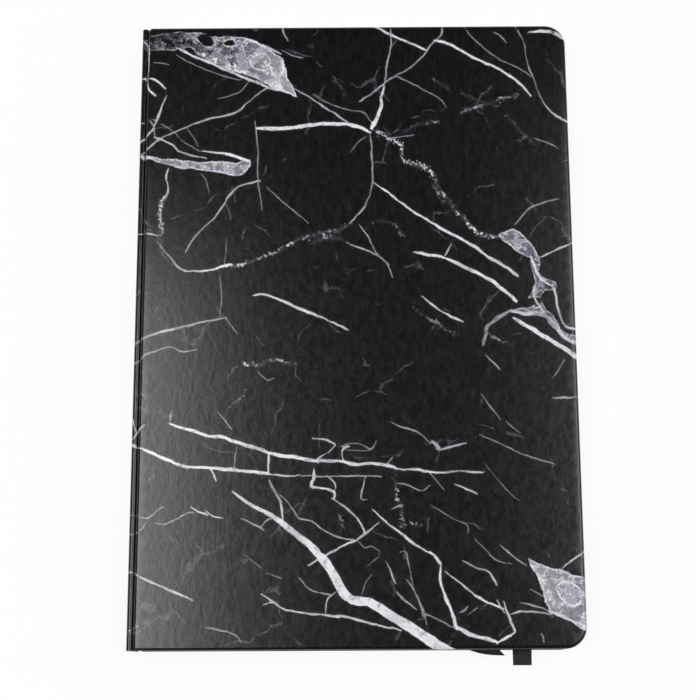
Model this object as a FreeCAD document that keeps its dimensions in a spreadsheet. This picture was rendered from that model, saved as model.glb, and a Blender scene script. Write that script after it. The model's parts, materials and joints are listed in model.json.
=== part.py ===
# Composition notebook: a casebound notebook that lies closed, front cover up.
# Units are millimetres. +Z is up, the spine is at -X, the head at +Y and the tail at -Y.
# The origin is the centre of the back cover's underside.
#
# The case is one sheet of printed paper over two greyboards and a spine card. It bends at two joints,
# so the sheet is divided there: each cover turns about its joint, and the spine stays with the pages.
# Each endpaper is one folded sheet as well: a pastedown on the cover and a flyleaf on the pages.

import FreeCAD, Part
import Sketcher
import math
import os

from FreeCAD import Vector

doc = FreeCAD.newDocument("composition_notebook")

# Driving dimensions, with the meaning of each
DIMENSIONS = [
    ("overall_width", 145.0, "spine face to fore-edge"),
    ("overall_height", 210.0, "head to tail of the covers"),
    ("board_thickness", 2.0, "greyboard of both covers"),
    ("cover_paper", 0.25, "printed and laminated paper of the case"),
    ("endpaper", 0.15, "pastedown or flyleaf"),
    ("leaves_thickness", 10.0, "the stack of ruled leaves"),
    ("leaf_clearance", 0.05, "air between flyleaf and pastedown"),
    ("spine_card", 1.0, "card inside the spine"),
    ("lining_thickness", 0.3, "gauze glued to the back of the leaves"),
    ("lining_margin", 2.0, "leaves left bare at each end of the gauze"),
    ("hinge_roll", 1.1, "outer radius of the roll at each joint"),
    ("hinge_clearance", 0.2, "valley between the roll and the board's edge"),
    ("square", 3.0, "cover past the leaves at head, tail and fore-edge"),
    ("cover_corner", 7.0, "corner radius of the covers at the fore-edge"),
    ("page_corner", 6.0, "corner radius of the leaves at the fore-edge"),
    ("spine_corner", 1.2, "corner radius of the covers beside the spine"),
    ("edge_round", 0.8, "rolled outer edge of each cover"),
    ("turn_in", 15.0, "paper folded round to the inside"),
    ("ribbon_width", 6.5, "each ribbon marker"),
    ("ribbon_thickness", 0.25, "each ribbon marker"),
    ("ribbon_bend", 20.0, "radius of a ribbon's bends between the leaves"),
    ("ribbon_tab_length", 18.0, "ribbon glued to the back of the leaves"),
    ("ribbon_tab_width", 4.6, "ribbon creased to this where it is glued"),
    ("ribbon_drop", 4.9, "first ribbon past the covers at the tail"),
    ("ribbon_place", 124.6, "spine face to the first ribbon at the tail"),
    ("second_ribbon_drop", 1.8, "tip of the second ribbon past the covers"),
    ("second_ribbon_place", 119.9, "spine face to the tip of the second ribbon"),
    ("second_ribbon_slope", 9.1, "degrees between its end and the tail edge"),
    ("print_depth", 0.08, "colour of the print, inlaid in the paper"),
    ("print_margin", 0.25, "inlay kept clear of the rolled edge"),
]

sheet = doc.addObject("Spreadsheet::Sheet", "Sizes")
for row, (alias, number, meaning) in enumerate(DIMENSIONS, start=1):
    sheet.set(f"A{row}", alias)
    sheet.set(f"B{row}", str(number))
    sheet.set(f"C{row}", meaning)
    sheet.setAlias(f"B{row}", alias)
doc.recompute()


def size(alias):
    """Returns one driving dimension as a number."""
    return float(sheet.get(alias))


def value(expression):
    """Returns what an expression over the sheet comes to."""
    return float(sheet.evalExpression(expression))


# Places that several pieces share, as expressions over the sheet
SPINE_FACE = "(-Sizes.overall_width / 2)"
FORE_EDGE = "(Sizes.overall_width / 2)"
HALF_HEIGHT = "(Sizes.overall_height / 2)"
PIVOT_X = f"({SPINE_FACE} + Sizes.hinge_roll)"
COVER_LEFT = f"({SPINE_FACE} + 2 * Sizes.hinge_roll + Sizes.hinge_clearance)"
CARD_BACK = f"({SPINE_FACE} + Sizes.cover_paper)"
CARD_FRONT = f"({CARD_BACK} + Sizes.spine_card)"
LEAVES_BACK = f"({CARD_FRONT} + Sizes.lining_thickness)"
LEAVES_FRONT = f"({FORE_EDGE} - Sizes.square)"
LEAVES_HALF = f"({HALF_HEIGHT} - Sizes.square)"

BACK_BOARD_LOW = "(Sizes.cover_paper)"
COVER_SHELL = "(Sizes.cover_paper + Sizes.board_thickness)"
BACK_INNER = f"({COVER_SHELL} + Sizes.endpaper)"
BACK_FLYLEAF_LOW = f"({BACK_INNER} + Sizes.leaf_clearance)"
LEAVES_LOW = f"({BACK_FLYLEAF_LOW} + Sizes.endpaper)"
LEAVES_HIGH = f"({LEAVES_LOW} + Sizes.leaves_thickness)"
FRONT_INNER = f"({LEAVES_HIGH} + Sizes.endpaper + Sizes.leaf_clearance)"
FRONT_BOARD_LOW = f"({FRONT_INNER} + Sizes.endpaper)"
OVERALL_HIGH = f"({FRONT_BOARD_LOW} + {COVER_SHELL})"


def sketch_on(body, name, points, level):
    """Draws a closed outline on the body's XY plane, each corner bound to the sheet."""
    sketch = body.newObject("Sketcher::SketchObject", name)
    plane = next(f for f in body.Origin.OriginFeatures if f.Role == "XY_Plane")
    sketch.AttachmentSupport = [(plane, "")]
    sketch.MapMode = "FlatFace"
    sketch.setExpression("AttachmentOffset.Base.z", level)
    corners = [Vector(value(x), value(y), 0) for x, y in points]
    count = len(corners)
    for index in range(count):
        sketch.addGeometry(Part.LineSegment(corners[index], corners[(index + 1) % count]))
    for index in range(count):
        sketch.addConstraint(Sketcher.Constraint("Coincident", index, 2, (index + 1) % count, 1))
    for index, (x, y) in enumerate(points):
        for kind, expression in (("DistanceX", x), ("DistanceY", y)):
            number = sketch.addConstraint(
                Sketcher.Constraint(kind, -1, 1, index, 1, value(expression)))
            sketch.setExpression(f"Constraints[{number}]", expression)
    return sketch


def edges_where(shape, test):
    """Names the edges of a shape that pass a test."""
    return [f"Edge{number}" for number, edge in enumerate(shape.Edges, start=1) if test(edge)]


def upright_at(x):
    """Tests for upright edges that stand at one place along X."""
    def test(edge):
        ends = edge.Vertexes
        upright = len(ends) == 2 and abs(ends[0].X - ends[1].X) + abs(ends[0].Y - ends[1].Y) < 1e-6
        return upright and abs(ends[0].X - x) < 1e-6
    return test


def level_at(z):
    """Tests for edges that lie at one level."""
    return lambda edge: edge.BoundBox.ZLength < 1e-6 and abs(edge.BoundBox.ZMin - z) < 1e-6


def rounded(body, base, name, edges, radius):
    """Rounds some edges of a body's last feature."""
    fillet = body.newObject("PartDesign::Fillet", name)
    fillet.Base = (base, edges)
    fillet.setExpression("Radius", radius)
    doc.recompute()
    return fillet


def flat_sheet(label, left, right, half_height, level, thickness, corner):
    """Makes a flat piece whose two corners at the fore-edge are rounded."""
    body = doc.addObject("PartDesign::Body", label)
    body.Label = label
    corners = [
        (left, f"-{half_height}"),
        (right, f"-{half_height}"),
        (right, half_height),
        (left, half_height),
    ]
    pad = body.newObject("PartDesign::Pad", f"{label}_pad")
    pad.Profile = sketch_on(body, f"{label}_outline", corners, level)
    pad.setExpression("Length", thickness)
    doc.recompute()
    last = rounded(body, pad, f"{label}_corners",
                   edges_where(pad.Shape, upright_at(value(right))), corner)
    return body, last


def cover_slab(label, inset, level, thickness, outer_level):
    """Makes a slab of the cover's outline, inset all round, with a rolled outer edge."""
    left = f"({COVER_LEFT} + {inset})"
    body, last = flat_sheet(label, left, f"({FORE_EDGE} - {inset})", f"({HALF_HEIGHT} - {inset})",
                            level, thickness, f"Sizes.cover_corner - {inset}")
    last = rounded(body, last, f"{label}_spine_corners",
                   edges_where(last.Shape, upright_at(value(left))), f"Sizes.spine_corner - {inset}")
    last = rounded(body, last, f"{label}_edge",
                   edges_where(last.Shape, level_at(value(outer_level))), f"Sizes.edge_round - {inset}")
    return body, last


def cover_board(label, level, inner_level, outer_level, reverse):
    """Makes a greyboard with a recess round its inner face, where the folded paper lies."""
    body, _ = cover_slab(label, "Sizes.cover_paper", level, "Sizes.board_thickness", outer_level)
    outside = 5
    window_right = f"({FORE_EDGE} - Sizes.turn_in)"
    window_half = f"({HALF_HEIGHT} - Sizes.turn_in)"
    left = f"({COVER_LEFT} - {outside})"
    right = f"({FORE_EDGE} + {outside})"
    half = f"({HALF_HEIGHT} + {outside})"
    corners = [
        (left, f"-{half}"),
        (right, f"-{half}"),
        (right, half),
        (left, half),
        (left, window_half),
        (window_right, window_half),
        (window_right, f"-{window_half}"),
        (left, f"-{window_half}"),
    ]
    before = body.Shape.Volume
    recess = body.newObject("PartDesign::Pocket", f"{label}_recess")
    recess.Profile = sketch_on(body, f"{label}_recess_outline", corners, inner_level)
    recess.setExpression("Length", "Sizes.cover_paper")
    recess.Reversed = reverse
    doc.recompute()
    if body.Shape.Volume > before - 1:
        raise RuntimeError(f"{label}: the recess cuts nothing")
    return body


def box(name, x, y, z, length, width, height):
    """Makes a Part box bound to the sheet."""
    made = doc.addObject("Part::Box", name)
    for axis, expression in zip("xyz", (x, y, z)):
        made.setExpression(f"Placement.Base.{axis}", expression)
    for side, expression in (("Length", length), ("Width", width), ("Height", height)):
        made.setExpression(side, expression)
    return made


def rod(name, radius, z, half_length):
    """Makes a Part cylinder along Y on one of the two joint lines."""
    made = doc.addObject("Part::Cylinder", name)
    made.Placement.Rotation = FreeCAD.Rotation(Vector(1, 0, 0), -90)
    made.setExpression("Placement.Base.x", PIVOT_X)
    made.setExpression("Placement.Base.y", f"-{half_length}")
    made.setExpression("Placement.Base.z", z)
    made.setExpression("Radius", radius)
    made.setExpression("Height", f"2 * {half_length}")
    return made


def join(name, pieces):
    """Fuses pieces."""
    made = doc.addObject("Part::MultiFuse", name)
    made.Shapes = pieces
    made.Refine = True
    return made


def cut(label, base, tool):
    """Cuts one piece out of another."""
    made = doc.addObject("Part::Cut", label)
    made.Base = base
    made.Tool = tool
    made.Label = label
    return made


def common(label, pieces):
    """Keeps what the pieces share."""
    made = doc.addObject("Part::MultiCommon", label)
    made.Shapes = pieces
    made.Label = label
    return made


def spine_core(name, radius, half_length, left, right):
    """Makes the form between and round the two joint lines: two rods and the block that joins them."""
    return join(name, [
        rod(f"{name}_front_rod", radius, FRONT_INNER, half_length),
        rod(f"{name}_back_rod", radius, BACK_INNER, half_length),
        box(f"{name}_block", left, f"-{half_length}", BACK_INNER,
            f"{right} - {left}", f"2 * {half_length}", f"{FRONT_INNER} - {BACK_INNER}"),
    ])


# Spine: the paper rolls over the card at both joints and is folded in at head and tail
ROLL_RIGHT = f"({PIVOT_X} + Sizes.hinge_roll)"
CARD_HALF = f"({HALF_HEIGHT} - Sizes.cover_paper)"
LINING_HALF = f"({LEAVES_HALF} - Sizes.lining_margin)"
INNER_ROLL = "Sizes.hinge_roll - Sizes.cover_paper"


def spine_card_piece(label):
    """Makes the card of the spine, recessed at both ends for the folded paper."""
    core = spine_core(f"{label}_core", INNER_ROLL, CARD_HALF, CARD_BACK, CARD_FRONT)
    blank = box(f"{label}_blank", CARD_BACK, f"-{CARD_HALF}", "0",
                "Sizes.spine_card", f"2 * {CARD_HALF}", OVERALL_HIGH)
    recess_left = f"({CARD_FRONT} - Sizes.cover_paper)"
    window = f"({HALF_HEIGHT} - Sizes.turn_in)"
    recesses = [
        box(f"{label}_head_recess", recess_left, window, "0",
            "Sizes.cover_paper", "Sizes.turn_in", OVERALL_HIGH),
        box(f"{label}_tail_recess", recess_left, f"-{HALF_HEIGHT}", "0",
            "Sizes.cover_paper", "Sizes.turn_in", OVERALL_HIGH),
    ]
    return cut(label, common(f"{label}_profile", [core, blank]), join(f"{label}_recesses", recesses))


def spine_paper_piece(label, card):
    """Makes the printed paper of the spine, with its ends folded in over the card."""
    outer = spine_core(f"{label}_outer", "Sizes.hinge_roll", HALF_HEIGHT, SPINE_FACE, CARD_FRONT)
    hollow = spine_core(f"{label}_hollow", INNER_ROLL, HALF_HEIGHT, CARD_FRONT, ROLL_RIGHT)
    beside_card = box(f"{label}_beside_card", CARD_FRONT, f"-{HALF_HEIGHT}", "0",
                      f"{ROLL_RIGHT} - {CARD_FRONT}", f"2 * {HALF_HEIGHT}", OVERALL_HIGH)
    roll_inside = common(f"{label}_roll_inside", [hollow, beside_card])
    under_card = box(f"{label}_under_card", CARD_FRONT, f"-{HALF_HEIGHT}", BACK_INNER,
                     f"{ROLL_RIGHT} - {CARD_FRONT}", f"2 * {HALF_HEIGHT}",
                     f"{FRONT_INNER} - {BACK_INNER}")
    return cut(label, outer, join(f"{label}_inside", [card, roll_inside, under_card]))


def spine_gauze_piece(label):
    """Makes the gauze on the back of the leaves, rolled up into both joints."""
    core = spine_core(f"{label}_core", INNER_ROLL, LINING_HALF, CARD_FRONT, LEAVES_BACK)
    beside_card = box(f"{label}_beside_card", CARD_FRONT, f"-{LINING_HALF}", "0",
                      f"{ROLL_RIGHT} - {CARD_FRONT}", f"2 * {LINING_HALF}", OVERALL_HIGH)
    leaves_room = box(f"{label}_leaves_room", LEAVES_BACK, f"-{LINING_HALF}", BACK_INNER,
                      f"{ROLL_RIGHT} - {LEAVES_BACK}", f"2 * {LINING_HALF}",
                      f"{FRONT_INNER} - {BACK_INNER}")
    return cut(label, common(f"{label}_profile", [core, beside_card]), leaves_room)


def rounded_path(points, radius):
    """Returns a wire of straight runs joined by tangent arcs."""
    edges = []
    start = points[0]
    for before, corner, after in zip(points, points[1:], points[2:]):
        arriving = (corner - before).normalize()
        leaving = (after - corner).normalize()
        turn = arriving.getAngle(leaving)
        reach = radius * math.tan(turn / 2)
        arc_start = corner - arriving * reach
        arc_end = corner + leaving * reach
        inward = (leaving - arriving).normalize()
        middle = corner + inward * (radius / math.cos(turn / 2) - radius)
        edges.append(Part.makeLine(start, arc_start))
        edges.append(Part.Arc(arc_start, middle, arc_end).toShape())
        start = arc_end
    edges.append(Part.makeLine(start, points[-1]))
    return Part.Wire(edges)


def feature(label, shape):
    """Holds a shape that was made with Part's own functions."""
    made = doc.addObject("Part::Feature", label)
    made.Shape = shape
    made.Placement = FreeCAD.Placement()
    made.Label = label
    return made


def ribbon_shape(level, turns):
    """Makes a ribbon: a tab glued to the back of the leaves, a fold over their head and a flat strap."""
    width = size("ribbon_width")
    thickness = size("ribbon_thickness")
    tab_width = size("ribbon_tab_width")
    back = value(LEAVES_BACK)
    head = value(LEAVES_HALF)
    start = Vector(back + thickness + width / 2, head + thickness, level)
    path = rounded_path([start] + turns, size("ribbon_bend"))
    profile = Part.makePolygon([
        start + Vector(-width / 2, 0, -thickness / 2),
        start + Vector(width / 2, 0, -thickness / 2),
        start + Vector(width / 2, 0, thickness / 2),
        start + Vector(-width / 2, 0, thickness / 2),
        start + Vector(-width / 2, 0, -thickness / 2),
    ])
    strap = path.makePipeShell([profile], True, False)
    low = level - tab_width / 2
    tab = Part.makeBox(thickness, size("ribbon_tab_length"), tab_width,
                       Vector(back, head + thickness - size("ribbon_tab_length"), low))
    fold = Part.makeBox(thickness + width, thickness, tab_width / 2 + thickness / 2,
                        Vector(back, head, level - thickness / 2))
    return strap.fuse([tab, fold]).removeSplitter()


RIBBON_LEVEL = f"({LEAVES_HIGH} - Sizes.leaves_thickness * 0.26)"
SECOND_RIBBON_LEVEL = f"({LEAVES_LOW} + Sizes.leaves_thickness * 0.26)"
RIBBON_RUN = 12


def first_ribbon_shape():
    """Runs from the head beside the spine across the leaves, and straight out at the tail."""
    level = value(RIBBON_LEVEL)
    tail = -value(HALF_HEIGHT)
    along = value(LEAVES_BACK) + size("ribbon_thickness") + size("ribbon_width") / 2
    place = value(SPINE_FACE) + size("ribbon_place")
    return ribbon_shape(level, [
        Vector(along, value(LEAVES_HALF) - RIBBON_RUN, level),
        Vector(place, tail + 2 * RIBBON_RUN, level),
        Vector(place, tail - size("ribbon_drop"), level),
    ])


def second_ribbon_shape():
    """Turns along the tail edge, where the tip of its slanting end shows."""
    level = value(SECOND_RIBBON_LEVEL)
    along = value(LEAVES_BACK) + size("ribbon_thickness") + size("ribbon_width") / 2
    width = size("ribbon_width")
    slope = math.radians(size("second_ribbon_slope"))
    ahead = Vector(math.cos(slope), -math.sin(slope), 0)
    across = Vector(math.sin(slope), math.cos(slope), 0)
    tip = Vector(value(SPINE_FACE) + size("second_ribbon_place"),
                 -value(HALF_HEIGHT) - size("second_ribbon_drop"), level)
    end = tip + across * (width / 2) + ahead * width
    bend = end - ahead * (5 * width)
    whole = ribbon_shape(level, [
        Vector(along, value(LEAVES_HALF) - RIBBON_RUN, level),
        bend,
        end,
    ])
    drop = Vector(0, 0, -width)
    corners = [tip, tip + ahead * (3 * width) - across, tip + across * (2 * width) + ahead * (3 * width),
               tip + (across - ahead) * (2 * width)]
    waste = Part.Face(Part.makePolygon([corner + drop for corner in corners + corners[:1]]))
    return whole.cut(waste.extrude(drop * -2))


# The cover's corners in the photograph, in pixels, and the marble's main veins there
PHOTO_TOP_LEFT = (141.0, 28.7)
PHOTO_TOP_RIGHT = (566.0, 25.8)
PHOTO_BOTTOM_LEFT = (126.5, 649.5)
PHOTO_BOTTOM_RIGHT = (588.0, 650.8)
PHOTO_PIXEL = 0.32

# Each vein is its width in pixels and the pixels that it runs through
VEINS = {
    "main_diagonal": (8, [(233, 492), (261, 511), (283, 523), (315, 549), (336, 576), (346, 598),
                          (372, 604), (400, 618), (425, 636), (449, 651)]),
    "left_long": (3.5, [(170, 424), (199, 434), (239, 445), (272, 453), (315, 462), (367, 464),
                        (407, 470), (480, 480)]),
    "left_lower": (3, [(128, 445), (148, 451), (183, 467), (234, 471), (288, 476)]),
    "left_hook": (2.5, [(269, 476), (277, 495), (283, 509), (285, 519)]),
    "left_bar": (3.2, [(126, 350), (143, 339), (177, 330), (212, 322), (224, 319), (239, 337)]),
    "middle_rise": (3, [(180, 274), (212, 271), (253, 264), (291, 249), (315, 234), (349, 228)]),
    "middle_fall": (2.6, [(252, 297), (283, 305), (323, 320), (352, 331)]),
    "upper_bar": (4, [(256, 130), (306, 128), (350, 128), (369, 134), (378, 110), (385, 90),
                      (389, 65), (387, 29)]),
    "upper_branch": (2, [(369, 134), (372, 160), (370, 203), (350, 226)]),
    "upper_drop": (2, [(257, 124), (258, 166), (263, 211)]),
    "left_sweep": (2.2, [(288, 80), (267, 90), (236, 113), (196, 124), (143, 151)]),
    "left_fall": (2.2, [(169, 166), (169, 195), (160, 222), (157, 241)]),
    "top_fork": (2.2, [(367, 28), (390, 37), (428, 54)]),
    "top_reach": (2.4, [(364, 103), (397, 78), (421, 59), (444, 28)]),
    "top_cross": (2.6, [(435, 43), (481, 62), (519, 88), (534, 101)]),
    "right_edge_fall": (2.4, [(515, 27), (534, 79), (550, 113), (568, 126)]),
    "crumbs": (3.4, [(383, 136), (405, 150), (414, 169), (436, 183), (460, 215), (484, 239), (508, 241)]),
    "right_upper": (3, [(376, 185), (410, 210), (457, 239), (483, 256), (519, 280)]),
    "right_middle": (3, [(414, 255), (446, 262), (493, 285), (518, 305)]),
    "right_long": (4.5, [(484, 349), (488, 330), (510, 314), (536, 335), (577, 361)]),
    "right_bar": (4.5, [(504, 317), (541, 316), (555, 327), (577, 345)]),
    "right_loop": (3, [(533, 262), (541, 285), (557, 301), (575, 333)]),
    "lower_rise": (3.2, [(401, 536), (427, 552), (441, 567), (446, 595), (456, 628), (497, 643), (514, 633)]),
    "lower_cross": (2.6, [(448, 573), (473, 593), (504, 617), (540, 617)]),
    "lower_mesh": (2.2, [(463, 562), (487, 570), (498, 587)]),
    "tail_left": (2.5, [(127, 572), (156, 584), (194, 600)]),
    "tail_middle": (2.2, [(264, 594), (304, 613), (380, 625)]),
}

# Each patch is an outline in pixels
PATCHES = {
    "upper_left": [(142, 39), (167, 34), (202, 34), (244, 39), (283, 61), (288, 80), (269, 88),
                   (232, 72), (189, 51), (148, 51)],
    "left": [(140, 154), (170, 160), (236, 166), (250, 162), (244, 176), (215, 174), (170, 168)],
    "right": [(500, 239), (521, 236), (533, 249), (539, 261), (519, 256), (505, 246)],
    "lower_right": [(528, 559), (561, 571), (584, 583), (572, 592), (561, 617), (549, 612), (540, 583)],
    "upper_right": [(538, 36), (550, 34), (563, 43), (548, 39)],
}


def on_cover(pixel):
    """Places a pixel of the photograph on the front cover, as shares of its width and height."""
    across, down = pixel
    image_share = (down - PHOTO_TOP_LEFT[1]) / (PHOTO_BOTTOM_LEFT[1] - PHOTO_TOP_LEFT[1])
    left = PHOTO_TOP_LEFT[0] + (PHOTO_BOTTOM_LEFT[0] - PHOTO_TOP_LEFT[0]) * image_share
    right = PHOTO_TOP_RIGHT[0] + (PHOTO_BOTTOM_RIGHT[0] - PHOTO_TOP_RIGHT[0]) * image_share
    head_width = PHOTO_TOP_RIGHT[0] - PHOTO_TOP_LEFT[0]
    tail_width = PHOTO_BOTTOM_RIGHT[0] - PHOTO_BOTTOM_LEFT[0]
    depth_share = image_share * tail_width / ((1 - image_share) * head_width + image_share * tail_width)
    return (across - left) / (right - left), depth_share


def cover_point(pixel, turned):
    """Returns a pixel's place on the front cover, or on the back cover with the print turned."""
    across, down = on_cover(pixel)
    if turned:
        down = 1 - down
    return Vector(value(SPINE_FACE) + across * size("overall_width"),
                  value(HALF_HEIGHT) - down * size("overall_height"), 0)


def band(points, width):
    """Returns the outline of a vein that narrows to a third of its width at both ends."""
    left = []
    right = []
    for index, point in enumerate(points):
        before = points[max(index - 1, 0)]
        after = points[min(index + 1, len(points) - 1)]
        along = (after - before).normalize()
        ends = index in (0, len(points) - 1)
        half = width / 6 if ends else width / 2
        offset = Vector(-along.y, along.x, 0) * half
        left.append(point + offset)
        right.append(point - offset)
    return left + right[::-1]


def marble(label, level, turned):
    """Makes the marble's main veins and patches, inlaid flush in a cover's outer face."""
    depth = size("print_depth")
    outlines = []
    for width, pixels in VEINS.values():
        scale = PHOTO_PIXEL * size("overall_width") / 145
        outlines.append(band([cover_point(pixel, turned) for pixel in pixels], width * scale))
    for pixels in PATCHES.values():
        outlines.append([cover_point(pixel, turned) for pixel in pixels])
    prisms = []
    for outline in outlines:
        raised = [Vector(point.x, point.y, level) for point in outline + outline[:1]]
        prisms.append(Part.Face(Part.makePolygon(raised)).extrude(Vector(0, 0, depth)))
    inset = size("edge_round") + size("print_margin")
    left = value(COVER_LEFT) + inset
    right = value(FORE_EDGE) - inset
    half = value(HALF_HEIGHT) - inset
    field = Part.makeBox(right - left, 2 * half, depth, Vector(left, -half, level))
    fore_corners = [edge for edge in field.Edges if upright_at(right)(edge)]
    field = field.makeFillet(size("cover_corner") - inset, fore_corners)
    return feature(label, prisms[0].fuse(prisms[1:]).common(field).removeSplitter())


def turning_cover(side, level, board_level, inner_level, outer_level, print_level, reverse):
    """Makes one cover's board, print and printed paper."""
    form, _ = cover_slab(f"{side}_cover_form", "0", level, COVER_SHELL, outer_level)
    board = cover_board(f"{side}_board", board_level, inner_level, outer_level_of_board(side), reverse)
    veins = marble(f"{side}_cover_veins", print_level, side == "back")
    paper = cut(f"{side}_cover_wrap", form, join(f"{side}_cover_inside", [board, veins]))
    return [board, veins, paper]


def outer_level_of_board(side):
    """Returns the level of a board's outer face."""
    return f"({OVERALL_HIGH} - Sizes.cover_paper)" if side == "front" else BACK_BOARD_LOW


def endpapers(side, pastedown_level, flyleaf_level):
    """Makes the two halves of one endpaper."""
    pastedown, _ = flat_sheet(f"{side}_pastedown", COVER_LEFT, LEAVES_FRONT, LEAVES_HALF,
                              pastedown_level, "Sizes.endpaper", "Sizes.page_corner")
    flyleaf, _ = flat_sheet(f"{side}_flyleaf", LEAVES_BACK, LEAVES_FRONT, LEAVES_HALF,
                            flyleaf_level, "Sizes.endpaper", "Sizes.page_corner")
    return [pastedown, flyleaf]


sub_parts = []
sub_parts += turning_cover("front", FRONT_BOARD_LOW, FRONT_BOARD_LOW, FRONT_BOARD_LOW, OVERALL_HIGH,
                           value(f"{OVERALL_HIGH} - Sizes.print_depth"), True)
sub_parts += turning_cover("back", "0", BACK_BOARD_LOW, COVER_SHELL, "0", 0, False)
sub_parts += endpapers("front", FRONT_INNER, LEAVES_HIGH)
sub_parts += endpapers("back", COVER_SHELL, BACK_FLYLEAF_LOW)

spine_board = spine_card_piece("spine_board")
spine_wrap = spine_paper_piece("spine_wrap", spine_board)
spine_lining = spine_gauze_piece("spine_lining")
ribbon_marker = feature("ribbon_marker", first_ribbon_shape())
second_ribbon_marker = feature("second_ribbon_marker", second_ribbon_shape())
leaves, _ = flat_sheet("leaves", LEAVES_BACK, LEAVES_FRONT, LEAVES_HALF, LEAVES_LOW,
                       "Sizes.leaves_thickness", "Sizes.page_corner")
page_block = cut("page_block", leaves, join("ribbon_room", [ribbon_marker, second_ribbon_marker]))
sub_parts += [spine_board, spine_wrap, spine_lining, ribbon_marker, second_ribbon_marker, page_block]

doc.recompute()

for item in doc.Objects:
    if "Invalid" in item.State or "Error" in item.State:
        raise RuntimeError(f"{item.Label} failed to build")

os.makedirs("parts", exist_ok=True)
for part in sub_parts:
    if part.Shape.isNull() or not part.Shape.isValid():
        raise RuntimeError(f"{part.Label} has no valid shape")
    part.Shape.exportStep(os.path.join("parts", f"{part.Label}.step"))
    print(f"{part.Label}: {part.Shape.Volume:.1f} mm3, {len(part.Shape.Solids)} solid(s)")
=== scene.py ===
import json
import math
from functools import partial

import bmesh
import bpy
from bpy.props import FloatProperty, FloatVectorProperty, IntProperty, PointerProperty
from mathutils import Matrix, Vector, geometry, noise
from mathutils.kdtree import KDTree


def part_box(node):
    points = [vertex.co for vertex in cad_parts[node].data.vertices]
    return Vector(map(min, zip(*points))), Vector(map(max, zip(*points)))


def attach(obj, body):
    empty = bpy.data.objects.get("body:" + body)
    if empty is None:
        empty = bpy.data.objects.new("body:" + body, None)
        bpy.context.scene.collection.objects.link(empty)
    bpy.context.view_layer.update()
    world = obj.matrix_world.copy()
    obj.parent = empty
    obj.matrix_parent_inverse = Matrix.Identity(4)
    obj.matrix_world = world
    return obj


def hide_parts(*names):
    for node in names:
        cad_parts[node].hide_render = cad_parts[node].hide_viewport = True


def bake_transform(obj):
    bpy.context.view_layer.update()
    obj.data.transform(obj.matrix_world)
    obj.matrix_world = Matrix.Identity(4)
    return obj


bl_info = {
    "name": "Casebound notebook",
    "version": (1, 0, 0),
    "blender": (4, 5, 0),
    "location": "View3D > Sidebar > Notebook",
    "description": "Dresses a casebound notebook: marble case paper, endpapers, leaves and ribbon markers",
    "category": "Object",
}

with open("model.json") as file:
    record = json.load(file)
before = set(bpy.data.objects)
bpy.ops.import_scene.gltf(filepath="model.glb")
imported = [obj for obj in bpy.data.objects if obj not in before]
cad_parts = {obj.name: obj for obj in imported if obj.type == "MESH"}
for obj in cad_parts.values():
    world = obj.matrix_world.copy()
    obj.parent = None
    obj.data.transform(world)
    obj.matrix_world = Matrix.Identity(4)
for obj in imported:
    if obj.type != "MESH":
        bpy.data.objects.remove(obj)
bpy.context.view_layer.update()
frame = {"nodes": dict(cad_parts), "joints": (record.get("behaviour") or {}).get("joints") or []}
MM = 0.001

# Places taken from the frame, in millimetres


def box_mm(node):
    """Returns a CAD node's lowest and highest corner in millimetres."""
    low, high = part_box(node)
    return low / MM, high / MM


COVER_LOW, COVER_HIGH = box_mm("front_cover_wrap")
BACK_LOW, BACK_HIGH = box_mm("back_cover_wrap")
SPINE_LOW, SPINE_HIGH = box_mm("spine_wrap")
BLOCK_LOW, BLOCK_HIGH = box_mm("page_block")
PASTE_LOW, PASTE_HIGH = box_mm("front_pastedown")
FLY_HIGH = box_mm("front_flyleaf")[1]
RIBBON_LOW, RIBBON_HIGH = box_mm("ribbon_marker")
SECOND_LOW, SECOND_HIGH = box_mm("second_ribbon_marker")
MIDDLE = (COVER_HIGH.z + BACK_LOW.z) / 2
PIVOTS = {joint["child"]: Vector(joint["pos_m"]) / MM for joint in frame["joints"]}
SIDES = {"front": 1, "back": -1}


# Driving values that a user would change


def linear(hex_colour):
    """Turns an sRGB hex value into linear light."""
    channels = [int(hex_colour[place:place + 2], 16) / 255 for place in (1, 3, 5)]
    return tuple(c / 12.92 if c <= 0.04045 else ((c + 0.055) / 1.055) ** 2.4 for c in channels)


def colour(label, meaning, hex_colour):
    """Declares a colour that a user may change."""
    return FloatVectorProperty(name=label, description=meaning, subtype="COLOR", size=3,
                               min=0, max=1, default=linear(hex_colour))


def length(label, meaning, metres):
    """Declares a length that a user may change."""
    return FloatProperty(name=label, description=meaning, default=metres, min=0, unit="LENGTH")


class NotebookSizes(bpy.types.PropertyGroup):
    edge_round: length("Rolled edge", "Height of the case paper's roll round the outer edge", 0.0008)
    edge_reach: length("Edge reach", "Width over which the case paper falls towards the outer edge", 0.00115)
    inner_round: length("Inner edge", "Radius of the case paper round the board's inner edge", 0.0003)
    cover_corner: length("Cover corner", "Corner radius of the covers at the fore-edge", 0.007)
    spine_corner: length("Spine corner", "Corner radius of the covers beside the spine", 0.0012)
    page_corner: length("Page corner", "Corner radius of the leaves at the fore-edge", 0.006)
    paper: length("Case paper", "Thickness of the printed and laminated paper", 0.00025)
    turn_in: length("Turn-in", "Case paper folded round to the inside of the board", 0.015)
    spine_turn_in: length("Spine turn-in", "Case paper folded in over the spine card's ends", 0.0044)
    vein_step: length("Vein step", "Distance between the points that a vein is drawn with", 0.0009)
    rim_step: length("Rim step", "Distance between points along the cover's outline", 0.0007)
    leaf_count: IntProperty(name="Leaves", description="Number of leaves in the block", default=96, min=8)
    ribbon_width: length("Ribbon width", "Width of each ribbon marker", 0.0065)
    ribbon_thickness: length("Ribbon thickness", "Thickness of each ribbon marker", 0.00022)


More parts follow.
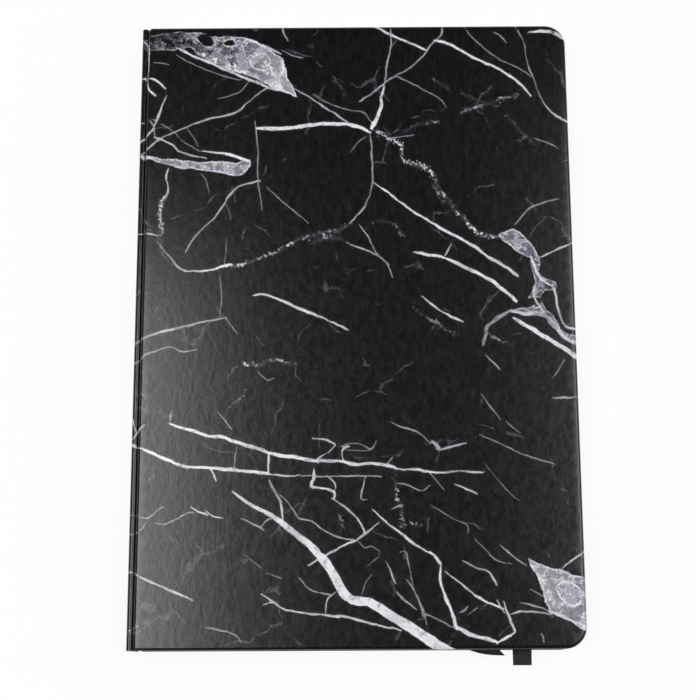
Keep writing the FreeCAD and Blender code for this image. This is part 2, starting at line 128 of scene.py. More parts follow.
class NotebookColours(bpy.types.PropertyGroup):
    ground: colour("Ground", "Black of the marble", "#08080a")
    ground_light: colour("Light ground", "Palest part of the black", "#151517")
    vein: colour("Vein", "White of the marble's veins", "#e6e6ea")
    patch: colour("Patch", "Lilac grey of the marble's patches", "#9c9aae")
    patch_shade: colour("Patch shade", "Darker lilac grey inside the patches", "#5d5b69")
    hairline: colour("Hairline", "Grey of the finest veins", "#5c5c64")
    leaf: colour("Leaf", "Uncoated writing paper", "#efeadd")
    endpaper: colour("Endpaper", "Uncoated endpaper", "#f0eee8")
    ribbon: colour("Ribbon", "Dyed satin ribbon", "#040405")
    greyboard: colour("Greyboard", "Recycled board", "#8d887f")
    gauze: colour("Gauze", "Starched cotton gauze", "#d9d4c6")
    floor: colour("Floor", "Pale table", "#f2f2f2")


def sizes():
    """Returns the sizes in millimetres by name."""
    group = bpy.context.scene.notebook_sizes
    names = [name for name in NotebookSizes.__annotations__ if name != "leaf_count"]
    return {name: getattr(group, name) / MM for name in names}


def tint(name, share=1.0):
    """Returns one of the notebook's colours times a share, with an alpha."""
    return (*(channel * share for channel in getattr(bpy.context.scene.notebook_colours, name)), 1.0)


# The marble print. Its veins were read in the photograph, as pixels, between the cover's corners

PHOTO_TOP_LEFT = (141.0, 28.7)
PHOTO_TOP_RIGHT = (566.0, 25.8)
PHOTO_BOTTOM_LEFT = (126.5, 649.5)
PHOTO_BOTTOM_RIGHT = (588.0, 650.8)
# Millimetres of the cover to a pixel
PHOTO_PIXEL = 0.32

# Each vein has a width in pixels at both ends, a lightness from 0 to 1 and the pixels that it runs through
VEINS = [
    (2.6, 2.2, 0.9, [(178, 50), (199, 60), (215, 67), (232, 74), (253, 83), (270, 90), (284, 93), (297, 99)]),
    (2.4, 2.4, 0.85, [(246, 40), (262, 47), (281, 56)]),
    (2.4, 2.4, 0.85, [(281, 62), (284, 72), (276, 80)]),
    (1.6, 2.4, 0.9, [(547, 611), (561, 617), (575, 623), (592, 630)]),
    (1.5, 1.5, 0.9, [(556, 588), (562, 583), (572, 584), (580, 592), (581, 603), (572, 607), (562, 600),
                     (555, 590)]),
    (2.0, 2.0, 0.8, [(252, 60), (262, 56), (270, 62), (266, 72), (254, 70), (250, 62)]),
    (2, 2, 0.9, [(145, 43), (147, 63), (146, 83), (149, 91), (155, 97)]),
    (1.4, 2.6, 0.9, [(139, 79), (147, 79), (157, 82), (165, 90)]),
    (2.2, 1.6, 0.85, [(166, 97), (158, 117), (152, 130), (146, 137), (137, 144)]),
    (1.8, 1.2, 0.7, [(137, 124), (147, 121), (155, 121)]),
    (1.4, 1.0, 0.6, [(147, 120), (153, 128), (155, 140)]),
    (1.6, 1.2, 0.65, [(153, 63), (161, 64), (168, 66)]),
    (2.0, 1.5, 0.72, [(283, 83), (267, 90), (250, 102), (233, 115), (200, 123), (167, 137), (154, 145),
                      (145, 152), (136, 158)]),
    (1.8, 1.6, 0.8, [(153, 139), (170, 145), (180, 153), (193, 158), (206, 161)]),
    (1.1, 1.1, 0.6, [(175, 57), (197, 68), (220, 77), (240, 82)]),
    (1.1, 1.1, 0.6, [(250, 82), (240, 93), (228, 98), (217, 100)]),
    (1.1, 1.1, 0.55, [(160, 125), (172, 133), (183, 143), (200, 153)]),
    (1.1, 1.1, 0.5, [(185, 128), (192, 138), (198, 148)]),
    (1.2, 1.8, 0.7, [(293, 90), (312, 101), (330, 113), (350, 126)]),
    (1.2, 1.2, 0.6, [(313, 97), (328, 105), (350, 113)]),
    (2.2, 1.4, 0.75, [(281, 27), (283, 33), (288, 43)]),
    (1.4, 1.2, 0.65, [(282, 52), (292, 57), (303, 60)]),
    (1.6, 3.2, 1.0, [(202, 153), (215, 155), (230, 157), (250, 163)]),
    (1.2, 1.0, 0.65, [(256, 123), (257, 140), (258, 153), (258, 183), (260, 196), (263, 212)]),
    (2.0, 1.2, 0.72, [(261, 183), (248, 186), (237, 190), (228, 199), (223, 207), (212, 223), (203, 230),
                      (192, 242), (186, 255)]),
    (1.2, 1.0, 0.5, [(226, 206), (230, 214), (231, 222)]),
    (1.0, 1.0, 0.6, [(266, 189), (280, 201), (295, 214), (309, 226)]),
    (1.0, 1.0, 0.5, [(200, 175), (206, 184), (209, 196)]),
    (1.0, 1.0, 0.5, [(227, 238), (226, 252), (225, 268)]),
    (4.2, 3.2, 1.0, [(256, 130), (283, 131), (306, 128), (326, 126), (345, 127), (360, 130), (371, 135)]),
    (2.0, 4.4, 1.0, [(385, 88), (382, 100), (381, 110), (377, 123), (373, 132)]),
    (1.2, 1.8, 0.72, [(390, 22), (391, 40), (391, 50), (388, 67), (385, 88)]),
    (1.2, 1.6, 0.72, [(443, 22), (442, 37), (433, 46), (425, 57), (412, 70), (397, 78), (383, 88),
                      (372, 96), (360, 104)]),
    (2.0, 2.6, 0.9, [(366, 25), (380, 31), (393, 38), (411, 46), (427, 53)]),
    (1.6, 1.0, 0.6, [(397, 78), (408, 84), (420, 90), (440, 102), (447, 111)]),
    (1.4, 1.2, 0.6, [(350, 113), (364, 115), (372, 124)]),
    (1.2, 1.0, 0.6, [(367, 139), (358, 146), (350, 155)]),
    (1.6, 1.3, 0.66, [(371, 137), (373, 150), (373, 163), (372, 193), (368, 204), (363, 213), (350, 226)]),
    (1.3, 1.0, 0.65, [(388, 142), (402, 140), (415, 138)]),
    (3.0, 2.0, 0.95, [(435, 43), (447, 46), (460, 52), (477, 62), (500, 72), (517, 83), (532, 100)]),
    (1.2, 1.2, 0.6, [(461, 22), (468, 34), (478, 45), (500, 62), (517, 70), (533, 80)]),
    (1.6, 1.2, 0.6, [(495, 35), (502, 39), (508, 46)]),
    (1.3, 1.3, 0.6, [(513, 22), (520, 36), (525, 47), (530, 70), (538, 92), (544, 104)]),
    (1.4, 2.4, 0.85, [(544, 104), (550, 113), (558, 120), (574, 128)]),
    (2.0, 4.6, 0.95, [(530, 35), (547, 35), (556, 37), (568, 43)]),
    (1.2, 1.0, 0.6, [(535, 142), (547, 146), (560, 152)]),
    (1.8, 1.2, 0.62, [(515, 229), (522, 221), (530, 213), (545, 207), (560, 203)]),
    (1.4, 3.0, 0.95, [(375, 186), (392, 198), (410, 212), (427, 222), (443, 232), (463, 243), (483, 255)]),
    (2.6, 3.0, 0.9, [(480, 254), (490, 261), (504, 269), (519, 280)]),
    (2.8, 2.2, 0.9, [(533, 262), (536, 270), (541, 281), (553, 289)]),
    (2.2, 2.0, 0.8, [(536, 289), (535, 301), (543, 313), (546, 316)]),
    (2.2, 2.0, 0.8, [(553, 287), (557, 301), (560, 316), (567, 330), (578, 333)]),
    (3.2, 4.0, 0.72, [(510, 314), (529, 317), (541, 316), (555, 327), (565, 341), (580, 346)]),
    (4.0, 2.8, 0.66, [(512, 313), (498, 322), (488, 330), (488, 337), (484, 349)]),
    (1.8, 1.8, 0.8, [(541, 261), (557, 254), (576, 246)]),
    (2.6, 3.4, 0.97, [(414, 255), (429, 258), (446, 262), (471, 273), (493, 285), (508, 296), (518, 305)]),
    (1.8, 1.2, 0.8, [(445, 260), (453, 248)]),
    (3.6, 5.0, 1.0, [(514, 321), (536, 335), (557, 347), (584, 364)]),
    (1.4, 2.2, 0.85, [(422, 299), (440, 313), (464, 325)]),
    (1.5, 1.2, 0.7, [(350, 247), (369, 254), (386, 265), (393, 280)]),
    (1.2, 1.2, 0.65, [(360, 227), (369, 241), (378, 258), (390, 267)]),
    (1.6, 1.4, 0.7, [(486, 358), (501, 373)]),
    (1.4, 1.4, 0.65, [(481, 397), (490, 408), (502, 422)]),
    (1.4, 1.2, 0.6, [(507, 424), (521, 436)]),
    (1.0, 1.2, 0.6, [(480, 437), (505, 449), (531, 460), (557, 467)]),
    (1.2, 1.4, 0.65, [(392, 424), (402, 429), (419, 435), (431, 446)]),
    (4.5, 5.0, 0.7, [(432, 444), (436, 448), (440, 452)]),
    (2.8, 1.4, 0.78, [(437, 452), (446, 451), (456, 448), (467, 445)]),
    (1.6, 1.6, 0.65, [(553, 401), (584, 400)]),
    (1.4, 1.4, 0.6, [(553, 382), (565, 363)]),
    (1.0, 1.8, 0.72, [(157, 243), (165, 253), (173, 263), (179, 269), (187, 273)]),
    (1.6, 2.8, 1.0, [(184, 273), (197, 273), (210, 272), (222, 269), (232, 267)]),
    (1.8, 1.6, 0.75, [(133, 234), (146, 235), (157, 237)]),
    (1.6, 1.2, 0.6, [(134, 296), (140, 290)]),
    (3.0, 2.0, 0.72, [(124, 353), (135, 345), (150, 337), (167, 332), (190, 327), (210, 322), (226, 320)]),
    (1.6, 1.0, 0.7, [(226, 319), (231, 327), (238, 336)]),
    (2.2, 1.6, 0.65, [(137, 363), (145, 357), (155, 353), (170, 348), (179, 352), (187, 353), (198, 351)]),
    (1.0, 1.0, 0.55, [(220, 277), (222, 300), (220, 315)]),
    (2.6, 1.8, 0.9, [(253, 297), (263, 296), (275, 300), (287, 305), (306, 313), (327, 322), (349, 332)]),
    (1.0, 1.0, 0.6, [(258, 373), (268, 382), (275, 380)]),
    (1.6, 1.4, 0.8, [(130, 417), (133, 425), (137, 433)]),
    (1.8, 1.4, 0.8, [(131, 440), (137, 433), (145, 426)]),
    (1.5, 1.5, 0.75, [(172, 412), (170, 423)]),
    (2.6, 3.6, 0.97, [(170, 424), (183, 429), (199, 434), (208, 438), (221, 438), (239, 445), (259, 450),
                      (270, 454)]),
    (3.4, 2.6, 0.97, [(267, 453), (278, 456), (290, 458), (304, 460), (317, 462), (343, 463), (355, 466),
                      (373, 465), (385, 467), (398, 471)]),
    (1.9, 1.6, 0.85, [(396, 471), (417, 472), (427, 474), (440, 475), (460, 473), (484, 475)]),
    (1.5, 1.0, 0.7, [(218, 413), (225, 422), (232, 431)]),
    (1.2, 1.2, 0.7, [(385, 468), (389, 464), (393, 459)]),
    (1.6, 1.4, 0.8, [(343, 463), (343, 451), (350, 448)]),
    (2.6, 3.0, 0.95, [(124, 441), (133, 445), (148, 451), (164, 459), (183, 467), (202, 468), (234, 471),
                      (252, 473), (270, 475)]),
    (2.2, 1.0, 0.8, [(268, 475), (290, 477), (300, 476)]),
    (1.0, 1.4, 0.7, [(300, 477), (325, 478), (350, 478), (368, 478), (382, 479)]),
    (2.4, 1.2, 0.8, [(211, 469), (214, 475), (217, 482)]),
    (1.3, 1.3, 0.65, [(237, 447), (235, 459), (234, 470)]),
    (2.4, 2.4, 0.95, [(270, 454), (269, 464), (269, 474)]),
    (1.8, 2.2, 0.85, [(270, 481), (273, 488), (280, 500), (283, 509), (283, 521)]),
    (1.1, 1.4, 0.75, [(279, 494), (288, 502), (295, 512), (300, 520), (312, 522), (318, 526), (327, 533),
                      (340, 539), (355, 541)]),
    (1.6, 1.2, 0.8, [(313, 440), (324, 441), (332, 444), (337, 447), (330, 453), (319, 460), (319, 465)]),
    (2.8, 1.8, 0.9, [(315, 470), (315, 478), (312, 488), (323, 490), (335, 493), (335, 499)]),
    (1.2, 1.2, 0.75, [(327, 477), (335, 484), (336, 490)]),
    (1.2, 1.2, 0.6, [(340, 449), (350, 445), (363, 447), (372, 451), (377, 443)]),
    (1.2, 1.0, 0.5, [(343, 452), (357, 452), (370, 453)]),
    (1.4, 1.6, 0.8, [(332, 500), (340, 505), (348, 510), (358, 520), (364, 528), (365, 535), (357, 541)]),
    (1.4, 2.0, 0.85, [(380, 524), (366, 535), (357, 541), (343, 547), (328, 555), (320, 560), (309, 566)]),
    (1.2, 1.0, 0.7, [(357, 541), (365, 548), (372, 547), (380, 552)]),
    (1.0, 1.0, 0.5, [(380, 557), (374, 562), (368, 566)]),
    (1.2, 1.2, 0.7, [(365, 477), (364, 485), (362, 500), (368, 501)]),
    (1.2, 1.2, 0.65, [(397, 485), (410, 488), (422, 492), (431, 487)]),
    (1.8, 1.4, 0.75, [(392, 511), (397, 509), (404, 507)]),
    (1.0, 1.0, 0.55, [(427, 472), (437, 483), (445, 492)]),
    (1.4, 1.8, 0.8, [(455, 487), (467, 491), (478, 496)]),
    (1.0, 1.0, 0.45, [(485, 465), (495, 478), (503, 488), (512, 498), (520, 503)]),
    (1.1, 1.1, 0.55, [(432, 507), (450, 518), (467, 527), (468, 535)]),
    (2.0, 4.6, 0.9, [(233, 492), (240, 497), (250, 504), (260, 510), (270, 515), (277, 519)]),
    (2.6, 1.4, 0.75, [(277, 519), (268, 521), (263, 526)]),
    (4.4, 8.0, 0.97, [(272, 516), (283, 524), (299, 537), (310, 546), (320, 556)]),
    (8.0, 9.4, 1.0, [(317, 552), (328, 565), (337, 580), (344, 593), (352, 600)]),
    (8.0, 11.5, 1.0, [(346, 597), (356, 601), (368, 603), (384, 611), (401, 622), (416, 631), (430, 640),
                      (446, 650), (464, 660), (484, 672)]),
    (1.3, 1.3, 0.72, [(241, 519), (250, 523), (262, 529), (265, 531)]),
    (1.2, 2.4, 0.85, [(262, 594), (273, 601), (282, 607), (291, 611), (307, 614), (324, 615), (340, 617)]),
    (2.4, 1.4, 0.85, [(337, 616), (350, 618), (363, 621), (383, 626), (402, 631)]),
    (2.0, 1.6, 0.8, [(264, 605), (270, 603), (277, 603)]),
    (1.2, 1.4, 0.7, [(300, 578), (307, 587), (317, 592), (330, 595)]),
    (1.6, 1.2, 0.75, [(338, 592), (331, 597), (328, 601), (326, 613)]),
    (1.0, 1.0, 0.55, [(267, 574), (275, 576), (283, 579)]),
    (1.0, 1.0, 0.5, [(245, 555), (254, 562), (262, 568)]),
    (1.0, 1.0, 0.55, [(362, 597), (367, 583), (373, 575)]),
    (1.2, 1.8, 0.85, [(373, 510), (382, 519), (390, 527)]),
    (3.0, 1.6, 0.95, [(389, 526), (396, 531), (405, 537), (412, 543), (420, 548), (432, 555)]),
    (2.0, 3.6, 0.95, [(430, 553), (436, 558), (441, 565)]),
    (1.8, 3.4, 0.95, [(442, 566), (441, 583), (444, 592), (448, 603), (453, 616), (457, 629)]),
    (4.0, 2.6, 0.97, [(455, 627), (466, 633), (477, 637), (489, 640), (498, 643)]),
    (2.6, 1.6, 0.95, [(497, 644), (506, 638), (515, 632)]),
    (1.4, 2.8, 0.93, [(504, 602), (507, 611), (510, 619), (515, 632)]),
    (1.2, 2.4, 0.88, [(445, 572), (452, 577), (460, 583), (468, 590), (477, 597), (489, 604), (504, 610)]),
    (1.6, 1.0, 0.7, [(497, 601), (501, 608), (505, 614)]),
    (1.6, 2.0, 0.72, [(511, 615), (519, 612), (527, 612), (540, 613), (552, 615)]),
    (1.6, 1.4, 0.8, [(561, 571), (570, 564), (580, 557), (592, 550)]),
    (1.3, 1.5, 0.7, [(500, 546), (509, 554), (518, 561), (527, 567)]),
    (1.3, 1.3, 0.65, [(520, 603), (533, 607), (547, 612)]),
    (1.3, 1.3, 0.6, [(530, 591), (537, 594), (544, 598)]),
    (1.2, 1.2, 0.6, [(475, 541), (485, 550), (493, 558), (500, 563), (512, 565)]),
    (1.4, 1.4, 0.75, [(463, 562), (477, 569), (488, 572), (493, 578), (497, 587)]),
    (1.1, 1.2, 0.6, [(400, 553), (407, 553), (410, 567), (415, 590), (422, 607), (428, 625)]),
    (1.2, 1.2, 0.7, [(387, 563), (393, 575), (397, 584)]),
    (1.6, 1.2, 0.75, [(397, 592), (406, 601), (417, 610)]),
    (1.2, 1.2, 0.65, [(407, 580), (414, 590), (421, 604), (424, 617)]),
    (1.2, 1.0, 0.6, [(423, 613), (438, 620), (455, 629)]),
    (3.4, 2.0, 0.6, [(461, 613), (465, 611), (468, 607)]),
    (1.2, 1.0, 0.5, [(468, 616), (473, 612), (478, 609)]),
    (2.4, 1.4, 0.5, [(541, 634), (544, 638), (545, 643)]),
    (2.0, 2.2, 0.8, [(122, 571), (133, 572), (148, 580), (166, 588), (180, 594), (194, 600)]),
    (1.4, 1.2, 0.65, [(205, 626), (222, 630), (237, 635), (242, 642)]),
    (1.4, 1.2, 0.7, [(124, 632), (132, 628), (140, 625)]),
    (1.6, 2.0, 0.78, [(168, 170), (166, 180), (168, 193), (164, 201)]),
    (2.6, 1.4, 0.85, [(164, 198), (161, 204), (160, 213), (160, 226)]),
    (1.0, 1.4, 0.72, [(155, 523), (167, 524), (177, 520), (187, 514), (194, 513)]),
    (1.4, 1.8, 0.85, [(191, 508), (200, 513), (208, 516)]),
    (1.4, 1.6, 0.85, [(206, 511), (214, 517), (224, 519)]),
    (1.4, 1.4, 0.6, [(126, 514), (140, 517), (150, 518), (160, 509), (165, 507)]),
    (1.2, 1.4, 0.6, [(131, 534), (140, 531), (147, 522)]),
]

# These veins are broken into crumbs
CRUMBLED_VEINS = [
    (6.0, 7.0, 1.0, [(196, 54), (215, 62), (232, 69), (253, 77), (270, 84), (284, 89)]),
    (4.0, 3.0, 0.9, [(262, 60), (268, 68), (277, 77), (288, 88)]),
    (3.0, 5.0, 0.95, [(532, 566), (541, 580), (548, 592), (553, 606)]),
    (3.0, 2.6, 0.95, [(375, 132), (385, 138), (393, 143), (402, 148), (403, 162), (411, 167)]),
    (4.5, 3.6, 1.0, [(410, 166), (418, 168), (426, 171), (432, 176)]),
    (2.8, 2.4, 0.9, [(432, 176), (436, 184), (440, 193), (450, 203), (455, 212), (463, 220), (478, 237)]),
    (2.8, 3.0, 0.95, [(474, 232), (482, 239), (495, 240), (504, 240)]),
    (1.8, 1.6, 0.7, [(433, 187), (441, 199), (444, 208)]),
    (1.6, 1.6, 0.7, [(460, 117), (475, 111), (493, 105), (507, 101), (520, 98)]),
    (1.6, 1.4, 0.7, [(433, 80), (441, 86), (450, 92)]),
    (1.6, 1.6, 0.7, [(462, 97), (480, 104), (498, 109)]),
    (1.8, 2.2, 0.8, [(508, 118), (514, 125), (523, 136), (535, 148)]),
    (1.5, 1.5, 0.7, [(403, 136), (420, 128), (440, 124)]),
    (4.4, 3.0, 1.0, [(164, 200), (161, 204), (160, 213)]),
    (2.6, 2.6, 0.9, [(160, 212), (160, 222), (160, 228)]),
    (5.0, 3.6, 0.95, [(161, 226), (160, 233), (158, 240)]),
    (2.0, 2.4, 0.85, [(232, 268), (243, 266), (253, 263), (265, 259), (277, 255)]),
    (2.4, 2.8, 0.9, [(277, 255), (287, 249), (297, 243), (306, 239), (317, 237), (327, 234), (337, 233),
                     (344, 230), (352, 226)]),
    (2.0, 1.8, 0.7, [(310, 246), (322, 242), (334, 240), (347, 244)]),
    (2.6, 2.2, 0.85, [(243, 365), (252, 366), (260, 367), (268, 364), (277, 363), (287, 366), (297, 367)]),
    (1.6, 1.6, 0.6, [(414, 310), (428, 320), (443, 330), (457, 339)]),
    (1.4, 1.4, 0.7, [(395, 470), (396, 487), (397, 500), (402, 510), (403, 527)]),
    (1.6, 1.6, 0.7, [(490, 337), (500, 343), (512, 349)]),
    (1.6, 1.4, 0.6, [(372, 225), (384, 224), (398, 229), (404, 240)]),
    (1.8, 1.6, 0.6, [(228, 410), (240, 401), (247, 392)]),
    (1.6, 1.6, 0.6, [(412, 524), (417, 528), (422, 526)]),
    (1.6, 1.6, 0.55, [(340, 516), (343, 523), (341, 531)]),
]

# Each patch has a lightness at its left and at its right, and an outline in pixels
PATCHES = [
    (0.3, 1.1, [(139, 39), (167, 34), (202, 34), (210, 38), (244, 39), (266, 49), (283, 61), (286, 72),
                (288, 80), (298, 99), (283, 93), (269, 88), (253, 80), (232, 72), (215, 65), (199, 57),
                (189, 49), (177, 51), (148, 51)]),
    (0.95, 0.9, [(137, 154), (161, 160), (170, 160), (196, 164), (212, 163), (236, 164), (250, 162),
                 (250, 167), (244, 176), (232, 178), (215, 174), (196, 172), (170, 167), (145, 160)]),
    (0.85, 0.8, [(500, 239), (510, 233), (521, 236), (533, 249), (539, 261), (533, 262), (519, 256),
                 (505, 246)]),
    (0.6, 0.55, [(533, 257), (541, 261), (541, 275), (547, 283), (557, 286), (556, 295), (546, 294),
                 (541, 302), (546, 312), (556, 322), (566, 336), (580, 341), (580, 350), (566, 343),
                 (552, 328), (541, 320), (526, 319), (511, 315), (522, 312), (533, 309), (536, 300),
                 (529, 303), (534, 293), (536, 285), (531, 270)]),
    (1.05, 0.85, [(528, 559), (540, 566), (561, 572), (573, 576), (592, 587), (592, 631), (561, 617),
                  (549, 612), (546, 605), (542, 590), (540, 583), (532, 569)]),
]

# Each hole is the outline of black ground inside a patch, in pixels
HOLES = [
    [(538, 300), (541, 302), (540, 309), (535, 310)],
    [(194, 38), (203, 35), (211, 39), (213, 46), (206, 48), (199, 43)],
    [(222, 43), (232, 41), (236, 46), (226, 48)],
]


def on_cover(pixel):
    """Places a pixel of the photograph on the front cover, in millimetres of the frame."""
    across, down = pixel
    image_share = (down - PHOTO_TOP_LEFT[1]) / (PHOTO_BOTTOM_LEFT[1] - PHOTO_TOP_LEFT[1])
    left = PHOTO_TOP_LEFT[0] + (PHOTO_BOTTOM_LEFT[0] - PHOTO_TOP_LEFT[0]) * image_share
    right = PHOTO_TOP_RIGHT[0] + (PHOTO_BOTTOM_RIGHT[0] - PHOTO_TOP_RIGHT[0]) * image_share
    head_width = PHOTO_TOP_RIGHT[0] - PHOTO_TOP_LEFT[0]
    tail_width = PHOTO_BOTTOM_RIGHT[0] - PHOTO_BOTTOM_LEFT[0]
    depth_share = image_share * tail_width / ((1 - image_share) * head_width + image_share * tail_width)
    width = COVER_HIGH.x - SPINE_LOW.x
    height = COVER_HIGH.y - COVER_LOW.y
    return Vector((SPINE_LOW.x + width * (across - left) / (right - left),
                   COVER_HIGH.y - height * depth_share, 0))


def flowing(points, step):
    """Returns evenly spaced points along a smooth curve through the given ones."""
    ends = [points[0] * 2 - points[1], *points, points[-1] * 2 - points[-2]]
    made = []
    for before, start, end, after in zip(ends, ends[1:], ends[2:], ends[3:]):
        count = max(1, round((end - start).length / step))
        for index in range(count):
            t = index / count
            made.append(0.5 * (2 * start + (end - before) * t
                               + (2 * before - 5 * start + 4 * end - after) * t * t
                               + (3 * start - before - 3 * end + after) * t ** 3))
    return made + [points[-1]]


def from_run(point, start, end):
    """Returns how far along a straight run a point lies, from 0 to 1, and its distance from the run."""
    run = end - start
    share = max(0, min(1, (point - start).dot(run) / max(run.length_squared, 1e-9)))
    return share, (point - start - run * share).length


class Marble:
    """The print of one cover: where its veins run and how far any point lies from them."""

    # Wavelengths and reaches of the unevenness along a vein, in millimetres
    WANDERS = ((9.0, 0.4), (2.6, 0.25), (1.2, 0.12))
    # How near to the spine a vein starts that also crosses the joint, and how far it then runs on
    JOINT_REACH = 1.5
    SPINE_REACH = 7.0
    # Length over which a vein narrows to its end
    TAPER = 3.0
    # Wavelength and reach of the unevenness of a patch's outline
    RAGGED = (3.5, 0.7)
    # A distance that stands for nothing near
    FAR = 20.0
    # Outlines farther away than this aren't measured
    SKIPPED = 25.0

    def __init__(self, turned, step):
        self.turned = turned
        self.veins = []
        self.crumbled = []
        for number, (start_width, end_width, light, pixels) in enumerate(VEINS + CRUMBLED_VEINS):
            points = [self.place(pixel) for pixel in pixels]
            halves = (start_width * PHOTO_PIXEL / 2, end_width * PHOTO_PIXEL / 2)
            if points[0].x < SPINE_LOW.x + self.JOINT_REACH:
                points = self.onto_spine(points)
            self.veins.append(self.drawn(points, halves, light, step, number))
            self.crumbled.append(float(number >= len(VEINS)))
        self.patches = [self.ragged(pixels, step) for _, _, pixels in PATCHES]
        self.holes = [self.ragged(pixels, step) for pixels in HOLES]
        places = [(number, index) for number, vein in enumerate(self.veins) for index in range(len(vein))]
        self.places = places
        self.tree = KDTree(len(places))
        for slot, (number, index) in enumerate(places):
            self.tree.insert(self.veins[number][index][0], slot)
        self.tree.balance()

    def place(self, pixel):
        """Places a pixel on this cover: the back cover has the print turned head to tail."""
        point = on_cover(pixel)
        if self.turned:
            point.y = -point.y
        return point

    def onto_spine(self, points):
        """Runs a vein that reaches the joint on over the spine's face."""
        along = (points[0] - points[1]).normalized()
        return [points[0] + Vector((-self.SPINE_REACH, along.y * 3, 0)), *points]

    def drawn(self, points, halves, light, step, number):
        """Turns a route into samples of place, half width and lightness, a little uneven."""
        line = flowing(points, step)
        total = len(line) * step
        samples = []
        for index, point in enumerate(line):
            along = (line[min(index + 1, len(line) - 1)] - line[max(index - 1, 0)]).normalized()
            side = Vector((-along.y, along.x, 0))
            shift = 0
            for wavelength, reach in self.WANDERS:
                shift += reach * noise.noise(point / wavelength + Vector((number, 0, 7 * number)))
            travelled = index * step
            taper = min(1, math.sqrt((min(travelled, total - travelled) + 0.4) / self.TAPER))
            half = halves[0] + (halves[1] - halves[0]) * index / len(line)
            # The width swings over 3.2 mm by about 0.22 mm, and the lightness over 8 mm by a half
            swing = min(0.75, 0.22 / half)
            uneven = 1 + swing * noise.noise(Vector((travelled / 3.2, number * 3.7, 0)))
            faded = 1 + 0.5 * noise.noise(Vector((travelled / 8, number * 1.9, 5)))
            samples.append((point + side * shift, half * taper * uneven, min(1, light * light * faded)))
        return samples

    def ragged(self, pixels, step):
        """Returns an outline with uneven edges."""
        closed = [self.place(pixel) for pixel in pixels]
        wavelength, reach = self.RAGGED
        outline = []
        for point in flowing(closed + [closed[0]], step)[:-1]:
            across = noise.noise(point / wavelength)
            along = noise.noise(point / wavelength + Vector((0, 0, 40)))
            outline.append(point + reach * Vector((across, along, 0)))
        return outline

    def at(self, point):
        """Returns the numbers of PRINT_LAYERS at a point."""
        return (*self.vein_at(point), *self.patch_at(point))

    def vein_at(self, point):
        """Returns the distance to the nearest vein's edge, its lightness and whether it is crumbled."""
        best = (math.inf, 0.0, 0.0)
        for _, slot, _ in self.tree.find_n(point, 8):
            number, index = self.places[slot]
            vein = self.veins[number]
            for start, end in ((index - 1, index), (index, index + 1)):
                if start < 0 or end >= len(vein):
                    continue
                a, half_a, light_a = vein[start]
                b, half_b, light_b = vein[end]
                share, distance = from_run(point, a, b)
                distance -= half_a + (half_b - half_a) * share
                if distance < best[0]:
                    best = (distance, light_a + (light_b - light_a) * share, self.crumbled[number])
        return best

    def patch_at(self, point):
        """Returns the distance to the nearest patch's edge, below 0 inside it, and its lightness."""
        distance, number = self.area_at(point, self.patches)
        start_light, end_light, _ = PATCHES[number]
        across = [corner.x for corner in self.patches[number]]
        share = max(0, min(1, (point.x - min(across)) / (max(across) - min(across))))
        light = start_light + (end_light - start_light) * share
        return max(distance, -self.area_at(point, self.holes)[0]), light

    def area_at(self, point, outlines):
        """Returns the distance to the nearest outline, below 0 inside it, and that outline's number."""
        nearest = (self.FAR, 0)
        for number, outline in enumerate(outlines):
            if min((point - corner).length for corner in outline[::6]) > self.SKIPPED:
                continue
            inside = False
            closest = self.FAR
            for a, b in zip(outline, outline[1:] + outline[:1]):
                closest = min(closest, from_run(point, a, b)[1])
                if (a.y > point.y) != (b.y > point.y):
                    inside ^= point.x < a.x + (b.x - a.x) * (point.y - a.y) / (b.y - a.y)
            nearest = min(nearest, (-closest if inside else closest, number))
        return nearest


# Outlines and meshes


def arc(centre, radius, first, last, count):
    """Returns points round an arc with the outward direction at each, angles in degrees."""
    made = []
    for index in range(count + 1):
        angle = math.radians(first + (last - first) * index / count)
        out = Vector((math.cos(angle), math.sin(angle), 0))
        made.append((centre + out * radius, out))
    return made


def rounded_outline(left, right, half, spine_radius, fore_radius, step):
    """Returns a closed outline with the outward direction at each point, anticlockwise."""
    fore_count = max(3, round(fore_radius * math.pi / 2 / step))
    spine_count = max(2, round(spine_radius * math.pi / 2 / step))
    corners = [
        arc(Vector((right - fore_radius, -half + fore_radius, 0)), fore_radius, -90, 0, fore_count),
        arc(Vector((right - fore_radius, half - fore_radius, 0)), fore_radius, 0, 90, fore_count),
        arc(Vector((left + spine_radius, half - spine_radius, 0)), spine_radius, 90, 180, spine_count),
        arc(Vector((left + spine_radius, -half + spine_radius, 0)), spine_radius, 180, 270, spine_count),
    ]
    made = []
    for corner, following in zip(corners, corners[1:] + corners[:1]):
        made += corner
        start, out = corner[-1]
        end = following[0][0]
        count = max(1, round((end - start).length / step))
        made += [(start.lerp(end, index / count), out) for index in range(1, count)]
    return made


def piece_from(name, mesh_data, material):
    """Makes an object at the origin from a bmesh in millimetres."""
    mesh_data.transform(Matrix.Scale(MM, 4))
    mesh = bpy.data.meshes.new(name)
    mesh_data.to_mesh(mesh)
    mesh_data.free()
    mesh.materials.append(material)
    piece = bpy.data.objects.new(name, mesh)
    bpy.context.scene.collection.objects.link(piece)
    return piece


def alone(piece):
    """Selects one piece and nothing else."""
    bpy.ops.object.select_all(action="DESELECT")
    piece.select_set(True)
    bpy.context.view_layer.objects.active = piece


def smoothed(piece, degrees):
    """Shades a piece smooth up to an angle."""
    alone(piece)
    bpy.ops.object.shade_smooth_by_angle(angle=math.radians(degrees))
    return piece


def outwards(mesh_data):
    """Merges the doubled points of a closed mesh and points every face outwards."""
    bmesh.ops.remove_doubles(mesh_data, verts=mesh_data.verts, dist=1e-5)
    bmesh.ops.recalc_face_normals(mesh_data, faces=mesh_data.faces)


